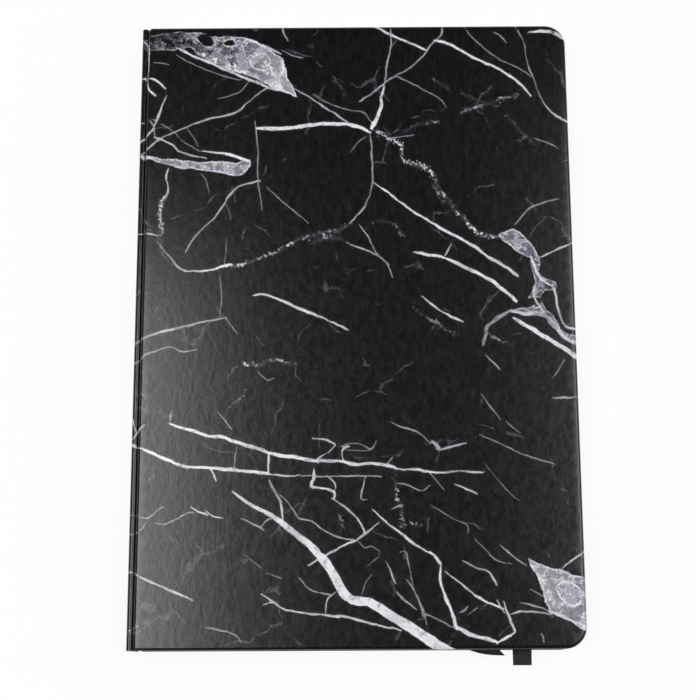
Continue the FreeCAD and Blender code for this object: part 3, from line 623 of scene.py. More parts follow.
PRINT_LAYERS = ("vein_edge", "vein_light", "vein_crumbled", "patch_edge", "patch_light")
BARE_PRINT = (Marble.FAR, 0.0, 0.0, Marble.FAR, 0.0)


def add_print_layers(mesh_data):
    """Adds the layers that hold the marble at each point."""
    return [mesh_data.verts.layers.float.new(name) for name in PRINT_LAYERS]


def set_print(vert, layers, numbers=BARE_PRINT):
    """Stores the marble's numbers at one point, or those of plain black."""
    for layer, number in zip(layers, numbers):
        vert[layer] = number


def quarter_turn(count):
    """Returns evenly spaced angles from 0 to 90 degrees, in radians."""
    return [math.radians(90 * index / count) for index in range(count + 1)]


def add_band(mesh_data, ring, following):
    """Joins two closed rings of points by a band of faces."""
    for index in range(len(ring)):
        after = (index + 1) % len(ring)
        mesh_data.faces.new((ring[index], ring[after], following[after], following[index]))


def print_plan(marble, outline):
    """Returns the flat face as points and triangles that follow the veins, and the outline's count."""
    # Distances in millimetres between the points on the lines, beside them and in the free areas
    on_line = 0.12
    beside = 0.28
    free = 2.4
    # How far the points beside a line reach beyond its edge, and half the width of a patch's edge
    reach_out = 0.45
    patch_edge = 0.35
    coords = [point.to_2d() for point, _ in outline]
    count = len(coords)
    edges = [(index, (index + 1) % count) for index in range(count)]
    left = min(point.x for point in coords)
    right = max(point.x for point in coords)
    half = max(point.y for point in coords)
    corner = sizes()["cover_corner"]
    used = set()

    def room(point, margin=0.3):
        """Tells whether a point lies well inside the outline."""
        if not (left + margin < point.x < right - margin and abs(point.y) < half - margin):
            return False
        over = Vector((max(0, point.x - right + corner), max(0, abs(point.y) - half + corner)))
        return over.length < corner - margin

    def cell(point, grain):
        """Returns the small square that a point lies in."""
        return (grain, round(point.x / grain), round(point.y / grain))

    def placed(point, grain):
        """Adds a point where no other one is near, and returns its number."""
        if not room(point) or cell(point, grain) in used:
            return None
        used.add(cell(point, grain))
        coords.append(point.to_2d())
        return len(coords) - 1

    rows = [[(place, half_width) for place, half_width, _ in vein] for vein in marble.veins]
    rows += [[(place, patch_edge) for place in patch + patch[:1]] for patch in marble.patches]
    for row in rows:
        previous = None
        for place, _ in row:
            current = placed(place, on_line)
            if previous is not None and current is not None:
                edges.append((previous, current))
            previous = current
    for row in rows:
        for index, (place, half_width) in enumerate(row):
            along = row[min(index + 1, len(row) - 1)][0] - row[max(index - 1, 0)][0]
            side = Vector((-along.y, along.x, 0)).normalized()
            for reach in (half_width, half_width + reach_out):
                placed(place + side * reach, beside)
                placed(place - side * reach, beside)
    for across in range(int((right - left) / free)):
        for up in range(int(2 * half / free)):
            x = left + (across + 0.5 + 0.5 * (up % 2)) * free
            placed(Vector((x, -half + (up + 0.5) * free, 0)), free * 0.6)
    made = geometry.delaunay_2d_cdt(coords, edges, [], 1, 1e-4)
    return made[0], made[2], count


def cover_shell(name, side, marble, material):
    """Makes one paper-covered board: the printed face, its rolled edge, its walls and its turn-ins."""
    measure = sizes()
    up = SIDES[side]
    low, high = (COVER_LOW, COVER_HIGH) if side == "front" else (BACK_LOW, BACK_HIGH)
    outer = high.z if side == "front" else low.z
    thickness = high.z - low.z
    drop = measure["edge_round"]
    roll = measure["edge_reach"]
    inner = measure["inner_round"]
    outline = rounded_outline(low.x + roll, high.x - roll, high.y - roll,
                              measure["spine_corner"] - roll, measure["cover_corner"] - roll,
                              measure["rim_step"])
    points, triangles, rim_count = print_plan(marble, outline)
    shell = bmesh.new()
    layers = add_print_layers(shell)
    verts = []
    for point in points:
        vert = shell.verts.new((point.x, point.y, outer))
        set_print(vert, layers, marble.at(point.to_3d()))
        verts.append(vert)
    for triangle in triangles:
        shell.faces.new([verts[index] for index in triangle])
    steps = [(roll * math.sin(a), drop * (1 - math.cos(a))) for a in quarter_turn(9)[1:]]
    steps.append((roll, thickness / 2))
    steps += [(roll - inner * (1 - math.cos(a)), thickness - inner * (1 - math.sin(a)))
              for a in quarter_turn(4)]
    steps.append((roll - measure["turn_in"] / 3, thickness))
    ring = verts[:rim_count]
    before = (0, 0)
    travelled = 0
    for reach, depth in steps:
        travelled += math.dist(before, (reach, depth))
        before = (reach, depth)
        following = []
        for point, out in outline:
            place = point + out * reach
            if reach < 0:
                place = point + out * reach * min(1, measure["cover_corner"] * 0.7 / -reach)
            made = shell.verts.new((place.x, place.y, outer - up * depth))
            set_print(made, layers, marble.at(point + out * travelled))
            following.append(made)
        add_band(shell, ring, following)
        ring = following
    shell.faces.new(ring)
    outwards(shell)
    return smoothed(piece_from(name, shell, material), 40)


def spine_half(name, side, marble, material):
    """Makes the printed paper from the middle of the spine over the roll to the cover's edge."""
    measure = sizes()
    up = SIDES[side]
    paper = measure["paper"]
    pivot = PIVOTS[f"{side}_cover"]
    roll = pivot.x - SPINE_LOW.x
    edge = COVER_LOW.x
    # Each row has its x and z, its outward direction and the x at which its print is read
    profile = []
    for index in range(9):
        z = MIDDLE + (pivot.z - MIDDLE) * index / 9
        profile.append((SPINE_LOW.x, z, -1, 0, SPINE_LOW.x - abs(pivot.z - z)))
    for index in range(21):
        angle = math.radians(180 - 9 * index)
        x = pivot.x + roll * math.cos(angle)
        profile.append((x, pivot.z + up * roll * math.sin(angle), math.cos(angle),
                        up * math.sin(angle), x))
    # The last two rows run under the cover's edge
    profile.append((pivot.x + roll + 0.09, pivot.z + up * 0.03, 0.6, up * 0.5, edge))
    profile.append((edge + 0.06, pivot.z + up * 0.2, -0.4, up * 0.9, edge))
    half = SPINE_HIGH.y
    count = round(2 * half / measure["rim_step"])
    sheet = bmesh.new()
    layers = add_print_layers(sheet)
    outer_rows = []
    inner_rows = []
    for x, z, out_x, out_z, print_x in profile:
        outer_row = []
        inner_row = []
        for index in range(count + 1):
            y = -half + 2 * half * index / count
            vert = sheet.verts.new((x, y, z))
            set_print(vert, layers, marble.at(Vector((print_x, y, 0))))
            outer_row.append(vert)
            inside = sheet.verts.new((x - out_x * paper, y, z - out_z * paper))
            set_print(inside, layers)
            inner_row.append(inside)
        outer_rows.append(outer_row)
        inner_rows.append(inner_row)
    for rows in (outer_rows, inner_rows):
        for row, following in zip(rows, rows[1:]):
            for index in range(count):
                sheet.faces.new((row[index], row[index + 1], following[index + 1], following[index]))
    for first, second in ((outer_rows[0], inner_rows[0]), (outer_rows[-1], inner_rows[-1])):
        for index in range(count):
            sheet.faces.new((first[index], first[index + 1], second[index + 1], second[index]))
    for end in (0, count):
        for row in range(len(profile) - 1):
            sheet.faces.new((outer_rows[row][end], outer_rows[row + 1][end],
                             inner_rows[row + 1][end], inner_rows[row][end]))
    outwards(sheet)
    return smoothed(piece_from(name, sheet, material), 50)


def spine_turn_ins(name, material):
    """Makes the paper that is folded in over the spine card's head and tail."""
    measure = sizes()
    paper = measure["paper"]
    card_low, card_high = box_mm("spine_board")
    reach = card_high.y - measure["spine_turn_in"]
    inner = card_high.x + paper
    levels = []
    for pivot, up in ((PIVOTS["back_cover"], -1), (PIVOTS["front_cover"], 1)):
        radius = pivot.x - card_low.x
        rounded = [math.radians(77 * index / 8) for index in range(9)]
        ends = [(pivot.z + up * radius * math.sin(angle), pivot.x, radius * math.cos(angle))
                for angle in rounded]
        levels += ends[::up]
    turned = bmesh.new()
    layers = add_print_layers(turned)
    for end in (1, -1):
        ring = None
        for z, centre, half_chord in levels:
            outer = centre - half_chord
            inside = min(inner, centre + half_chord)
            corner = min(paper, inside - card_high.x)
            places = [(outer, card_high.y), (card_high.x, card_high.y), (card_high.x, reach), (inside, reach),
                      (inside, COVER_HIGH.y - corner), (inside - corner * 0.3, COVER_HIGH.y - corner * 0.3),
                      (inside - corner, COVER_HIGH.y), (outer, COVER_HIGH.y)]
            following = [turned.verts.new((x, end * y, z)) for x, y in places]
            for vert in following:
                set_print(vert, layers)
            if ring:
                add_band(turned, ring, following)
            else:
                turned.faces.new(following)
            ring = following
        turned.faces.new(ring)
    outwards(turned)
    return smoothed(piece_from(name, turned, material), 50)


def squeezed_corner(point, right, half, radius):
    """Moves a point of a rectangular grid so that the fore-edge corners are round."""
    across = point.x - (right - radius)
    along = abs(point.y) - (half - radius)
    if across <= 0 or along <= 0:
        return point
    u = across / radius
    v = along / radius
    x = right - radius + radius * u * math.sqrt(1 - v * v / 2)
    y = half - radius + radius * v * math.sqrt(1 - u * u / 2)
    return Vector((x, math.copysign(y, point.y), point.z))


def endpaper(name, side, material):
    """Makes one endpaper: the flyleaf, its fold at the joint and the pastedown."""
    measure = sizes()
    up = SIDES[side]
    pivot = PIVOTS[f"{side}_cover"]
    thickness = PASTE_HIGH.z - PASTE_LOW.z
    gap = PASTE_LOW.z - FLY_HIGH.z
    radius = (thickness + gap) / 2
    middle = pivot.z - up * gap / 2
    edge = COVER_LOW.x
    right = FLY_HIGH.x
    half = FLY_HIGH.y
    corner = measure["page_corner"]
    stops = [edge + (right - corner - edge) * (index / 24) ** 1.5 for index in range(1, 25)]
    stops += [right - corner + corner * index / 7 for index in range(1, 8)]
    angles = [90, 60, 40, 28, 20, 15, 12, 10, 8, 6.5, 5, 4, 3, 2, 1]
    fold = [-angle for angle in angles] + [0] + angles[::-1]
    rows = [Vector((x, 0, middle - up * radius)) for x in reversed(stops)]
    rows += [Vector((edge - radius * math.cos(math.radians(angle)), 0,
                     middle + up * radius * math.sin(math.radians(angle)))) for angle in fold]
    rows += [Vector((x, 0, middle + up * radius)) for x in stops]
    ups = [-half + corner * index / 7 for index in range(8)]
    inner = 2 * (half - corner)
    ups += [-half + corner + inner * index / 40 for index in range(1, 40)]
    ups += [half - corner + corner * index / 7 for index in range(8)]
    sheet = bmesh.new()
    grid = []
    for row in rows:
        places = [squeezed_corner(Vector((row.x, y, row.z)), right, half, corner) for y in ups]
        grid.append([sheet.verts.new(place) for place in places])
    for line, following in zip(grid, grid[1:]):
        for index in range(len(ups) - 1):
            sheet.faces.new((line[index], line[index + 1], following[index + 1], following[index]))
    piece = piece_from(name, sheet, material)
    alone(piece)
    solid = piece.modifiers.new("Thickness", "SOLIDIFY")
    solid.thickness = thickness * MM
    solid.offset = 0
    bpy.ops.object.modifier_apply(modifier=solid.name)
    return smoothed(piece, 60)


def leaf_stack(name, material):
    """Makes the leaves, each with its own slightly uneven edge."""
    measure = sizes()
    count = bpy.context.scene.notebook_sizes.leaf_count
    # Room for the uneven edges, how uneven gatherings and single leaves are, and leaves in a gathering
    room = 0.08
    gathered_reach = 0.035
    own_reach = 0.045
    gathering = 12
    outline = rounded_outline(BLOCK_LOW.x, BLOCK_HIGH.x - room, BLOCK_HIGH.y - room, 0.05,
                              measure["page_corner"], 6.0)
    thickness = (BLOCK_HIGH.z - BLOCK_LOW.z) / count
    stack = bmesh.new()
    ring = None
    for leaf in range(count):
        swell = gathered_reach * math.sin(leaf * 2 * math.pi / gathering)
        gathered = swell * noise.noise(Vector((leaf // gathering, 4, 1)))
        own = own_reach * noise.noise(Vector((leaf * 1.7, 2.3, 9.1)))
        for share in (0.14, 0.86):
            z = BLOCK_LOW.z + thickness * (leaf + share)
            if leaf == 0 and share < 0.5:
                z = BLOCK_LOW.z
            if leaf == count - 1 and share > 0.5:
                z = BLOCK_HIGH.z
            following = []
            for point, out in outline:
                place = point + out * (gathered + own if out.x > -0.5 else 0)
                following.append(stack.verts.new((place.x, place.y, z)))
            if ring:
                add_band(stack, ring, following)
            else:
                stack.faces.new(following)
            ring = following
    stack.faces.new(ring)
    outwards(stack)
    return piece_from(name, stack, material)


def strap(name, stations, end_slant, material):
    """Makes a ribbon from stations of centre and side direction, with a bead along both edges."""
    measure = sizes()
    width = measure["ribbon_width"]
    thickness = measure["ribbon_thickness"]
    columns = 14
    ribbon = bmesh.new()
    uv = ribbon.loops.layers.uv.new("weave")
    travelled = 0
    rows = []
    before = stations[0][0]
    for number, (centre, side, narrow) in enumerate(stations):
        travelled += (centre - before).length
        before = centre
        ahead_to = stations[min(number + 1, len(stations) - 1)][0]
        ahead = (ahead_to - stations[max(number - 1, 0)][0]).normalized()
        facing = side.cross(ahead).normalized()
        row = []
        for face in (1, -1):
            for column in range(columns + 1):
                share = column / columns * 2 - 1
                place = centre + side * (share * width * narrow / 2)
                if number == len(stations) - 1:
                    place = place - ahead * (share + 1) / 2 * end_slant
                bead = 0.5 + 0.5 * (abs(share) > 0.86) - 0.25 * (abs(share) > 0.99)
                place = place + facing * (face * thickness * bead)
                row.append((ribbon.verts.new(place), (share * width / 2, travelled)))
        rows.append(row)
    quads = []
    for row, following in zip(rows, rows[1:]):
        for column in range(2 * columns + 2):
            if column % (columns + 1) < columns:
                quads.append((row[column], row[column + 1], following[column + 1], following[column]))
        for column in (0, columns):
            lower = column + columns + 1
            quads.append((row[column], row[lower], following[lower], following[column]))
    for row in (rows[0], rows[-1]):
        for column in range(columns):
            lower = column + columns + 1
            quads.append((row[column], row[column + 1], row[lower + 1], row[lower]))
    for corners in quads:
        made = ribbon.faces.new([vert for vert, _ in corners])
        for loop, (_, where) in zip(made.loops, corners):
            loop[uv].uv = where
    outwards(ribbon)
    return smoothed(piece_from(name, ribbon, material), 50)


def rounded_route(points, radius, step):
    """Returns points along straight runs joined by arcs."""
    made = [points[0]]
    for before, corner, after in zip(points, points[1:], points[2:]):
        arriving = (corner - before).normalized()
        leaving = (after - corner).normalized()
        turn = arriving.angle(leaving)
        reach = radius * math.tan(turn / 2)
        start = corner - arriving * reach
        end = corner + leaving * reach
        count = max(2, round(radius * turn / step))
        for index in range(count + 1):
            t = index / count
            first = start.lerp(corner, t)
            made.append(first.lerp(corner.lerp(end, t), t))
    made.append(points[-1])
    return made


# Radius of a ribbon's bends in its own plane, and how far its glued end reaches above it
BEND_RADIUS = 20
TAB_RISE = 2.3


def ribbon_stations(level, route, fall, narrowing):
    """Returns a ribbon's stations: glued to the leaves' back, turned over their head, then flat."""
    # Length of the glued end and the distance between its stations, in millimetres
    tab = 18
    station = 3
    back = BLOCK_LOW.x + 0.125
    head = BLOCK_HIGH.y
    up = Vector((0, 0, 1))
    across = Vector((1, 0, 0))
    narrow = 0.7
    stations = [(Vector((back, head - tab + along, level)), up, narrow) for along in range(0, tab, station)]
    turns = 10
    half = sizes()["ribbon_width"] / 2
    for index in range(turns + 1):
        angle = math.pi / 2 * index / turns
        centre = Vector((back + half * math.sin(angle), head - 0.2 + 0.55 * math.sin(angle * 2) ** 0.7,
                         level + 0.25 * math.sin(angle * 2)))
        stations.append((centre, (up * math.cos(angle) + across * math.sin(angle)).normalized(),
                         narrow + (1 - narrow) * index / turns))
    line = rounded_route(route, BEND_RADIUS, 2.0)
    for index, point in enumerate(line[1:], start=1):
        before = line[index - 1]
        after = line[min(index + 1, len(line) - 1)]
        ahead = (after - before).normalized()
        flat_side = Vector((-ahead.y, ahead.x, 0)).normalized()
        past = max(0, -BLOCK_HIGH.y - point.y)
        stations.append((point - up * fall * past * past, flat_side, 1 - narrowing * past))
    return stations


# Materials

TIMES = {"operation": "MULTIPLY"}
PLUS = {"operation": "ADD"}
TIMES_PLUS = {"operation": "MULTIPLY_ADD"}
LARGER = {"operation": "MAXIMUM"}
EASED = {"interpolation_type": "SMOOTHSTEP"}
COLOURS = {"data_type": "RGBA"}


def add(tree, kind, settings, *given, **named):
    """Adds a shader node and returns its first output.

    Settings are attributes. Inputs are values or sockets, in order or by their names with _ for a space.
    """
    node = tree.nodes.new("ShaderNode" + kind)
    for name, setting in settings.items():
        setattr(node, name, setting)
    slots = list(zip([slot for slot in node.inputs if slot.enabled], given))
    slots += [(node.inputs[name.replace("_", " ")], value) for name, value in named.items()]
    for slot, value in slots:
        if isinstance(value, bpy.types.NodeSocket):
            tree.links.new(value, slot)
        else:
            slot.default_value = value
    return next((slot for slot in node.outputs if slot.enabled), None)


def millimetres(new, stretch=(1, 1, 1)):
    """Returns the piece's own coordinates in millimetres, divided by a stretch along each axis."""
    place = new("TexCoord", {}).node.outputs["Object"]
    return new("Mapping", {}, Vector=place, Scale=[1 / MM / along for along in stretch])


def laminated_marble_paper(new):
    """Offset-printed art paper with a satin film: even black, white veins and a soft wide sheen."""
    place = millimetres(new)
    # The size of each noise's spots in mm, its detail and its roughness
    noises = {
        "fine": (0.5, 4, 0.55),
        "coarse": (2.2, 3, 0.55),
        "broad": (9.0, 2, 0.55),
        "crumbs": (1.1, 5, 0.7),
        "gaps": (4.2, 2, 0.55),
        "dust": (0.55, 3, 0.6),
        "lace": (1.8, 4, 0.65),
        "clouds": (5.0, 4, 0.6),
        "spots": (1.4, 5, 0.65),
    }
    spots_of = {name: new("TexNoise", {}, Vector=place, Scale=1 / grain, Detail=detail, Roughness=rough)
                for name, (grain, detail, rough) in noises.items()}
    fine = spots_of["fine"]
    coarse = spots_of["coarse"]
    clouds = spots_of["clouds"]
    vein, light, crumbled, patch, patch_light = (
        new("Attribute", {"attribute_name": name}).node.outputs["Fac"] for name in PRINT_LAYERS)

    # White veins: an uneven core, crumbs where the vein is broken, a faint halo and dust beside it
    unevenness = new("Math", PLUS, new("Math", TIMES_PLUS, fine, 0.42, -0.21),
                     new("Math", TIMES_PLUS, coarse, 0.36, -0.18))
    vein_distance = new("Math", PLUS, vein, unevenness)
    core = new("MapRange", EASED, vein_distance, 0.1, -0.12)
    closeness = new("MapRange", EASED, vein_distance, 1.1, -0.6, 0.0, 0.16)
    grains = new("MapRange", EASED, new("Math", PLUS, spots_of["crumbs"], closeness), 0.6, 0.68)
    spread = new("Math", TIMES, new("MapRange", EASED, vein_distance, 1.1, 0.5), grains)
    spread = new("Math", TIMES, spread, new("MapRange", EASED, spots_of["gaps"], 0.45, 0.58, 0.06, 1.0))
    core = new("Math", TIMES, new("MapRange", {}, crumbled, 0.0, 1.0, core, spread), light)
    core = new("Math", TIMES, core, new("MapRange", EASED, coarse, 0.30, 0.52, 0.5, 1.0))
    halo = new("MapRange", EASED, vein_distance, 0.7, 0.0)
    halo = new("Math", TIMES, halo, new("Math", TIMES, light, 0.06))
    dust = new("Math", TIMES, new("MapRange", EASED, vein_distance, 2.0, 0.2),
               new("MapRange", EASED, spots_of["dust"], 0.64, 0.72))
    dust = new("Math", TIMES, dust, new("Math", TIMES, light, 0.35))

    # Patches: where they lie, how lacy they are and their pale rim
    patch_distance = new("Math", PLUS, patch, new("Math", TIMES, unevenness, 2.4))
    lace = new("Math", PLUS, spots_of["lace"], new("Math", TIMES, patch_light, 0.5))
    patch_area = new("Math", TIMES, new("MapRange", EASED, patch_distance, 0.15, -0.2),
                     new("MapRange", EASED, lace, 0.62, 0.82))
    rim = new("Math", TIMES, new("MapRange", EASED, patch_distance, 0.1, -0.15),
              new("MapRange", EASED, patch_distance, -0.75, -0.15))
    rim = new("Math", TIMES, rim, new("MapRange", EASED, patch_light, 0.2, 1.0, 0.15, 1.0))
    rim = new("Math", TIMES, rim, new("MapRange", EASED, coarse, 0.38, 0.6, 0.15, 0.85))
    loops = new("Math", {"operation": "ABSOLUTE"}, new("Math", {"operation": "SUBTRACT"}, clouds, 0.53))
    loops = new("Math", TIMES, new("MapRange", EASED, loops, 0.022, 0.004),
                new("MapRange", EASED, fine, 0.35, 0.55))

    # The black ground with its streaks, and hairlines between cells about 30 mm wide whose edges are bent
    streaks = new("TexNoise", {}, Vector=millimetres(new, (1, 3.2, 1)), Scale=1 / 1.5, Detail=3,
                  Roughness=0.55)
    streaky = new("MapRange", EASED, streaks, 0.3, 0.75)
    ground = new("Mix", COLOURS, streaky, tint("ground"), tint("ground_light"))
    wandering = new("TexNoise", {}, Vector=place, Scale=0.06, Detail=3.0).node.outputs["Color"]
    bent = new("VectorMath", TIMES_PLUS, wandering, (14, 14, 14), place)
    cells = new("TexVoronoi", {"feature": "DISTANCE_TO_EDGE"}, Vector=bent, Scale=0.033)
    hairs = new("Math", TIMES, new("MapRange", EASED, cells, 0.016, 0.003),
                new("MapRange", EASED, spots_of["broad"], 0.5, 0.62))
    hairs = new("Math", TIMES, hairs, new("MapRange", EASED, fine, 0.35, 0.6))
    ground = new("Mix", COLOURS, new("Math", TIMES, hairs, 0.8), ground, tint("hairline"))
    ground = new("Mix", COLOURS, new("Math", LARGER, halo, dust), ground, tint("patch"))

    # The lilac of the patches with black and white marks
    pale = new("MapRange", EASED, clouds, 0.42, 0.62)
    mottled = new("Mix", COLOURS, pale, tint("patch_shade"), tint("patch"))
    dark_spots = new("Math", TIMES, new("MapRange", EASED, spots_of["spots"], 0.54, 0.66), 0.75)
    mottled = new("Mix", COLOURS, dark_spots, mottled, tint("ground_light"))
    for whitened in (loops, new("MapRange", EASED, fine, 0.56, 0.7, 0.0, 0.6),
                     new("MapRange", EASED, patch_light, 0.75, 1.1, 0.0, 0.32)):
        mottled = new("Mix", COLOURS, whitened, mottled, tint("vein"))

    opacity = new("MapRange", EASED, patch_light, 0.2, 1.0, 0.45, 0.94)
    print_colour = new("Mix", COLOURS, new("Math", TIMES, patch_area, opacity), ground, mottled)
    print_colour = new("Mix", COLOURS, rim, print_colour, tint("vein"))
    lilac = new("Math", LARGER, new("MapRange", EASED, coarse, 0.5, 0.75, 0.0, 0.25),
                new("MapRange", EASED, light, 0.7, 0.4, 0.0, 0.35))
    vein_colour = new("Mix", COLOURS, lilac, tint("vein"), tint("patch"))
    print_colour = new("Mix", COLOURS, core, print_colour, vein_colour)

    film = new("TexNoise", {}, Vector=millimetres(new, (1, 1.5, 1)), Scale=1 / 1.6, Detail=3, Roughness=0.55)
    orange_peel = new("Bump", {}, Strength=0.09, Distance=0.0003, Height=film)
    return new("BsdfPrincipled", {}, Base_Color=print_colour, IOR=1.5, Normal=orange_peel,
               Roughness=new("MapRange", EASED, film, 0.3, 0.7, 0.17, 0.22))


def uncoated_endpaper(new):
    """Uncoated wood-free paper: matt, with a faint cloudy fibre."""
    place = millimetres(new)
    fibre = new("TexNoise", {}, Vector=place, Scale=1 / 0.35, Detail=5, Roughness=0.55)
    cloud = new("TexNoise", {}, Vector=place, Scale=1 / 3.0, Detail=3, Roughness=0.55)
    share = new("MapRange", EASED, new("Math", TIMES, fibre, cloud), 0.15, 0.4)
    tone = new("Mix", COLOURS, share, tint("endpaper"), tint("endpaper", 0.965))
    bump = new("Bump", {}, Strength=0.2, Distance=0.00003, Height=fibre)
    return new("BsdfPrincipled", {}, Base_Color=tone, Roughness=0.85, IOR=1.46, Normal=bump,
               Specular_IOR_Level=0.25)


def cut_leaf_edges(new):
    """Guillotined paper edges: each leaf a hair lighter or darker, with thin painted shadows between them."""
    layers = new("TexNoise", {}, Vector=millimetres(new, (60, 60, 1)), Scale=1 / 0.11, Detail=2,
                 Roughness=0.55)
    gathered = new("TexNoise", {}, Vector=millimetres(new, (40, 40, 1)), Scale=1 / 0.9, Detail=2,
                   Roughness=0.55)
    fibre = new("TexNoise", {}, Vector=millimetres(new), Scale=1 / 0.3, Detail=4, Roughness=0.55)
    # The darker leaf colour is partly each leaf's own tone and partly painted shade between the leaves
    share = new("Math", {**PLUS, "use_clamp": True}, new("MapRange", EASED, layers, 0.62, 0.35, 0.0, 0.55),
                new("MapRange", EASED, gathered, 0.6, 0.35, 0.0, 0.25))
    tone = new("Mix", COLOURS, share, tint("leaf"), tint("leaf", 0.8))
    height = new("Math", PLUS, layers, new("Math", TIMES, fibre, 0.4))
    bump = new("Bump", {}, Strength=0.3, Distance=0.00005, Height=height)
    return new("BsdfPrincipled", {}, Base_Color=tone, Roughness=0.9, Normal=bump, Specular_IOR_Level=0.2)


def recycled_greyboard(new):
    """Recycled greyboard: matt, with pale and dark fibres."""
    flecks = new("TexNoise", {}, Vector=millimetres(new, (1, 1, 0.4)), Scale=1 / 0.5, Detail=5, Roughness=0.7)
    share = new("MapRange", EASED, flecks, 0.42, 0.62)
    tone = new("Mix", COLOURS, share, tint("greyboard"), tint("greyboard", 0.6))
    bump = new("Bump", {}, Strength=0.3, Distance=0.00006, Height=flecks)
    return new("BsdfPrincipled", {}, Base_Color=tone, Roughness=0.92, Normal=bump, Specular_IOR_Level=0.2)


def starched_gauze(new):
    """Starched cotton gauze: an open weave of threads about 1 mm apart, over glue."""
    place = millimetres(new)
    warp, weft = (new("TexWave", {"bands_direction": axis}, Vector=place, Scale=0.31,
                      Distortion=0.6).node.outputs["Fac"] for axis in "YZ")
    threads = new("Math", LARGER, warp, weft)
    share = new("MapRange", EASED, threads, 0.35, 0.75)
    tone = new("Mix", COLOURS, share, tint("gauze", 0.6), tint("gauze"))
    bump = new("Bump", {}, Strength=0.5, Distance=0.0001, Height=threads)
    return new("BsdfPrincipled", {}, Base_Color=tone, Roughness=0.8, Normal=bump)


def black_satin_ribbon(new):
    """Woven polyester satin: a soft sheen and ribs 0.6 mm apart, coarser than real ones so that they show."""
    place = new("UVMap", {"uv_map": "weave"})
    ribs = new("TexWave", {"bands_direction": "Y"}, Vector=place, Scale=0.52, Distortion=0.25,
               Detail=1.0).node.outputs["Fac"]
    yarns = new("TexWave", {"bands_direction": "X"}, Vector=place, Scale=0.9,
                Distortion=0.2).node.outputs["Fac"]
    weave = new("Math", PLUS, ribs, new("Math", TIMES, yarns, 0.35))
    # A lighter copy of the ribbon's colour lies on the raised ribs: a painted highlight on their crests
    share = new("MapRange", EASED, weave, 0.5, 1.2)
    tone = new("Mix", COLOURS, share, tint("ribbon"), tint("ribbon", 2.4))
    bump = new("Bump", {}, Strength=0.5, Distance=0.00006, Height=weave)
    return new("BsdfPrincipled", {}, Base_Color=tone, Roughness=0.5, Normal=bump, Sheen_Weight=0.04,
               Specular_IOR_Level=0.3, Sheen_Roughness=0.4)


def pale_table(new):
    """A pale floor that is seen and mirrored nearly white, and that keeps a soft part of the shadow."""
    seen = new("BsdfDiffuse", {}, Color=tint("floor"))
    glow = new("Emission", {}, Color=(1, 1, 1, 1), Strength=1.0)
    path = new("LightPath", {}).node.outputs
    clamped = {**PLUS, "use_clamp": True}
    looked_at = new("Math", clamped, path["Is Camera Ray"], path["Is Glossy Ray"])
    looked_at = new("Math", clamped, looked_at, path["Is Transmission Ray"])
    return new("MixShader", {}, new("Math", TIMES, looked_at, 0.9), seen, glow)


def finish(maker):
    """Returns the material that a function makes, named for it and made once."""
    name = maker.__name__
    if name not in bpy.data.materials:
        material = bpy.data.materials.new(name)
        material.use_nodes = True
        material.node_tree.nodes.clear()
        new = partial(add, material.node_tree)
        new("OutputMaterial", {}, maker(new))
    return bpy.data.materials[name]


# Operators, one for each piece or group of like pieces


class NOTEBOOK_OT_covers(bpy.types.Operator):
    """Cover both boards with the marble paper and run it over the joints onto the spine"""
    bl_idname = "notebook.covers"
    bl_label = "Marble covers"

    def execute(self, context):
        material = finish(laminated_marble_paper)
        step = sizes()["vein_step"]
        for side in SIDES:
            marble = Marble(side == "back", step)
            shell = cover_shell(f"{side}_cover_print", side, marble, material)
            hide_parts(f"{side}_cover_wrap", f"{side}_cover_veins")
            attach(shell, f"{side}_cover")
            strip = spine_half(f"{side}_spine_print", side, marble, material)
            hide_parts("spine_wrap")
            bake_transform(strip)
        turned = spine_turn_ins("spine_turn_ins", material)
        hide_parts("spine_wrap")
        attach(turned, "book_block")
        return {"FINISHED"}


class NOTEBOOK_OT_endpapers(bpy.types.Operator):
    """Fold an endpaper into each cover"""
    bl_idname = "notebook.endpapers"
    bl_label = "Endpapers"

    def execute(self, context):
        material = finish(uncoated_endpaper)
        for side, up in SIDES.items():
            piece = endpaper(f"{side}_endpaper", side, material)
            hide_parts(f"{side}_pastedown", f"{side}_flyleaf")
            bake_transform(piece)
        return {"FINISHED"}


class NOTEBOOK_OT_leaves(bpy.types.Operator):
    """Stack the leaves"""
    bl_idname = "notebook.leaves"
    bl_label = "Leaves"

    def execute(self, context):
        piece = leaf_stack("leaf_stack", finish(cut_leaf_edges))
        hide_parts("page_block")
        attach(piece, "book_block")
        return {"FINISHED"}


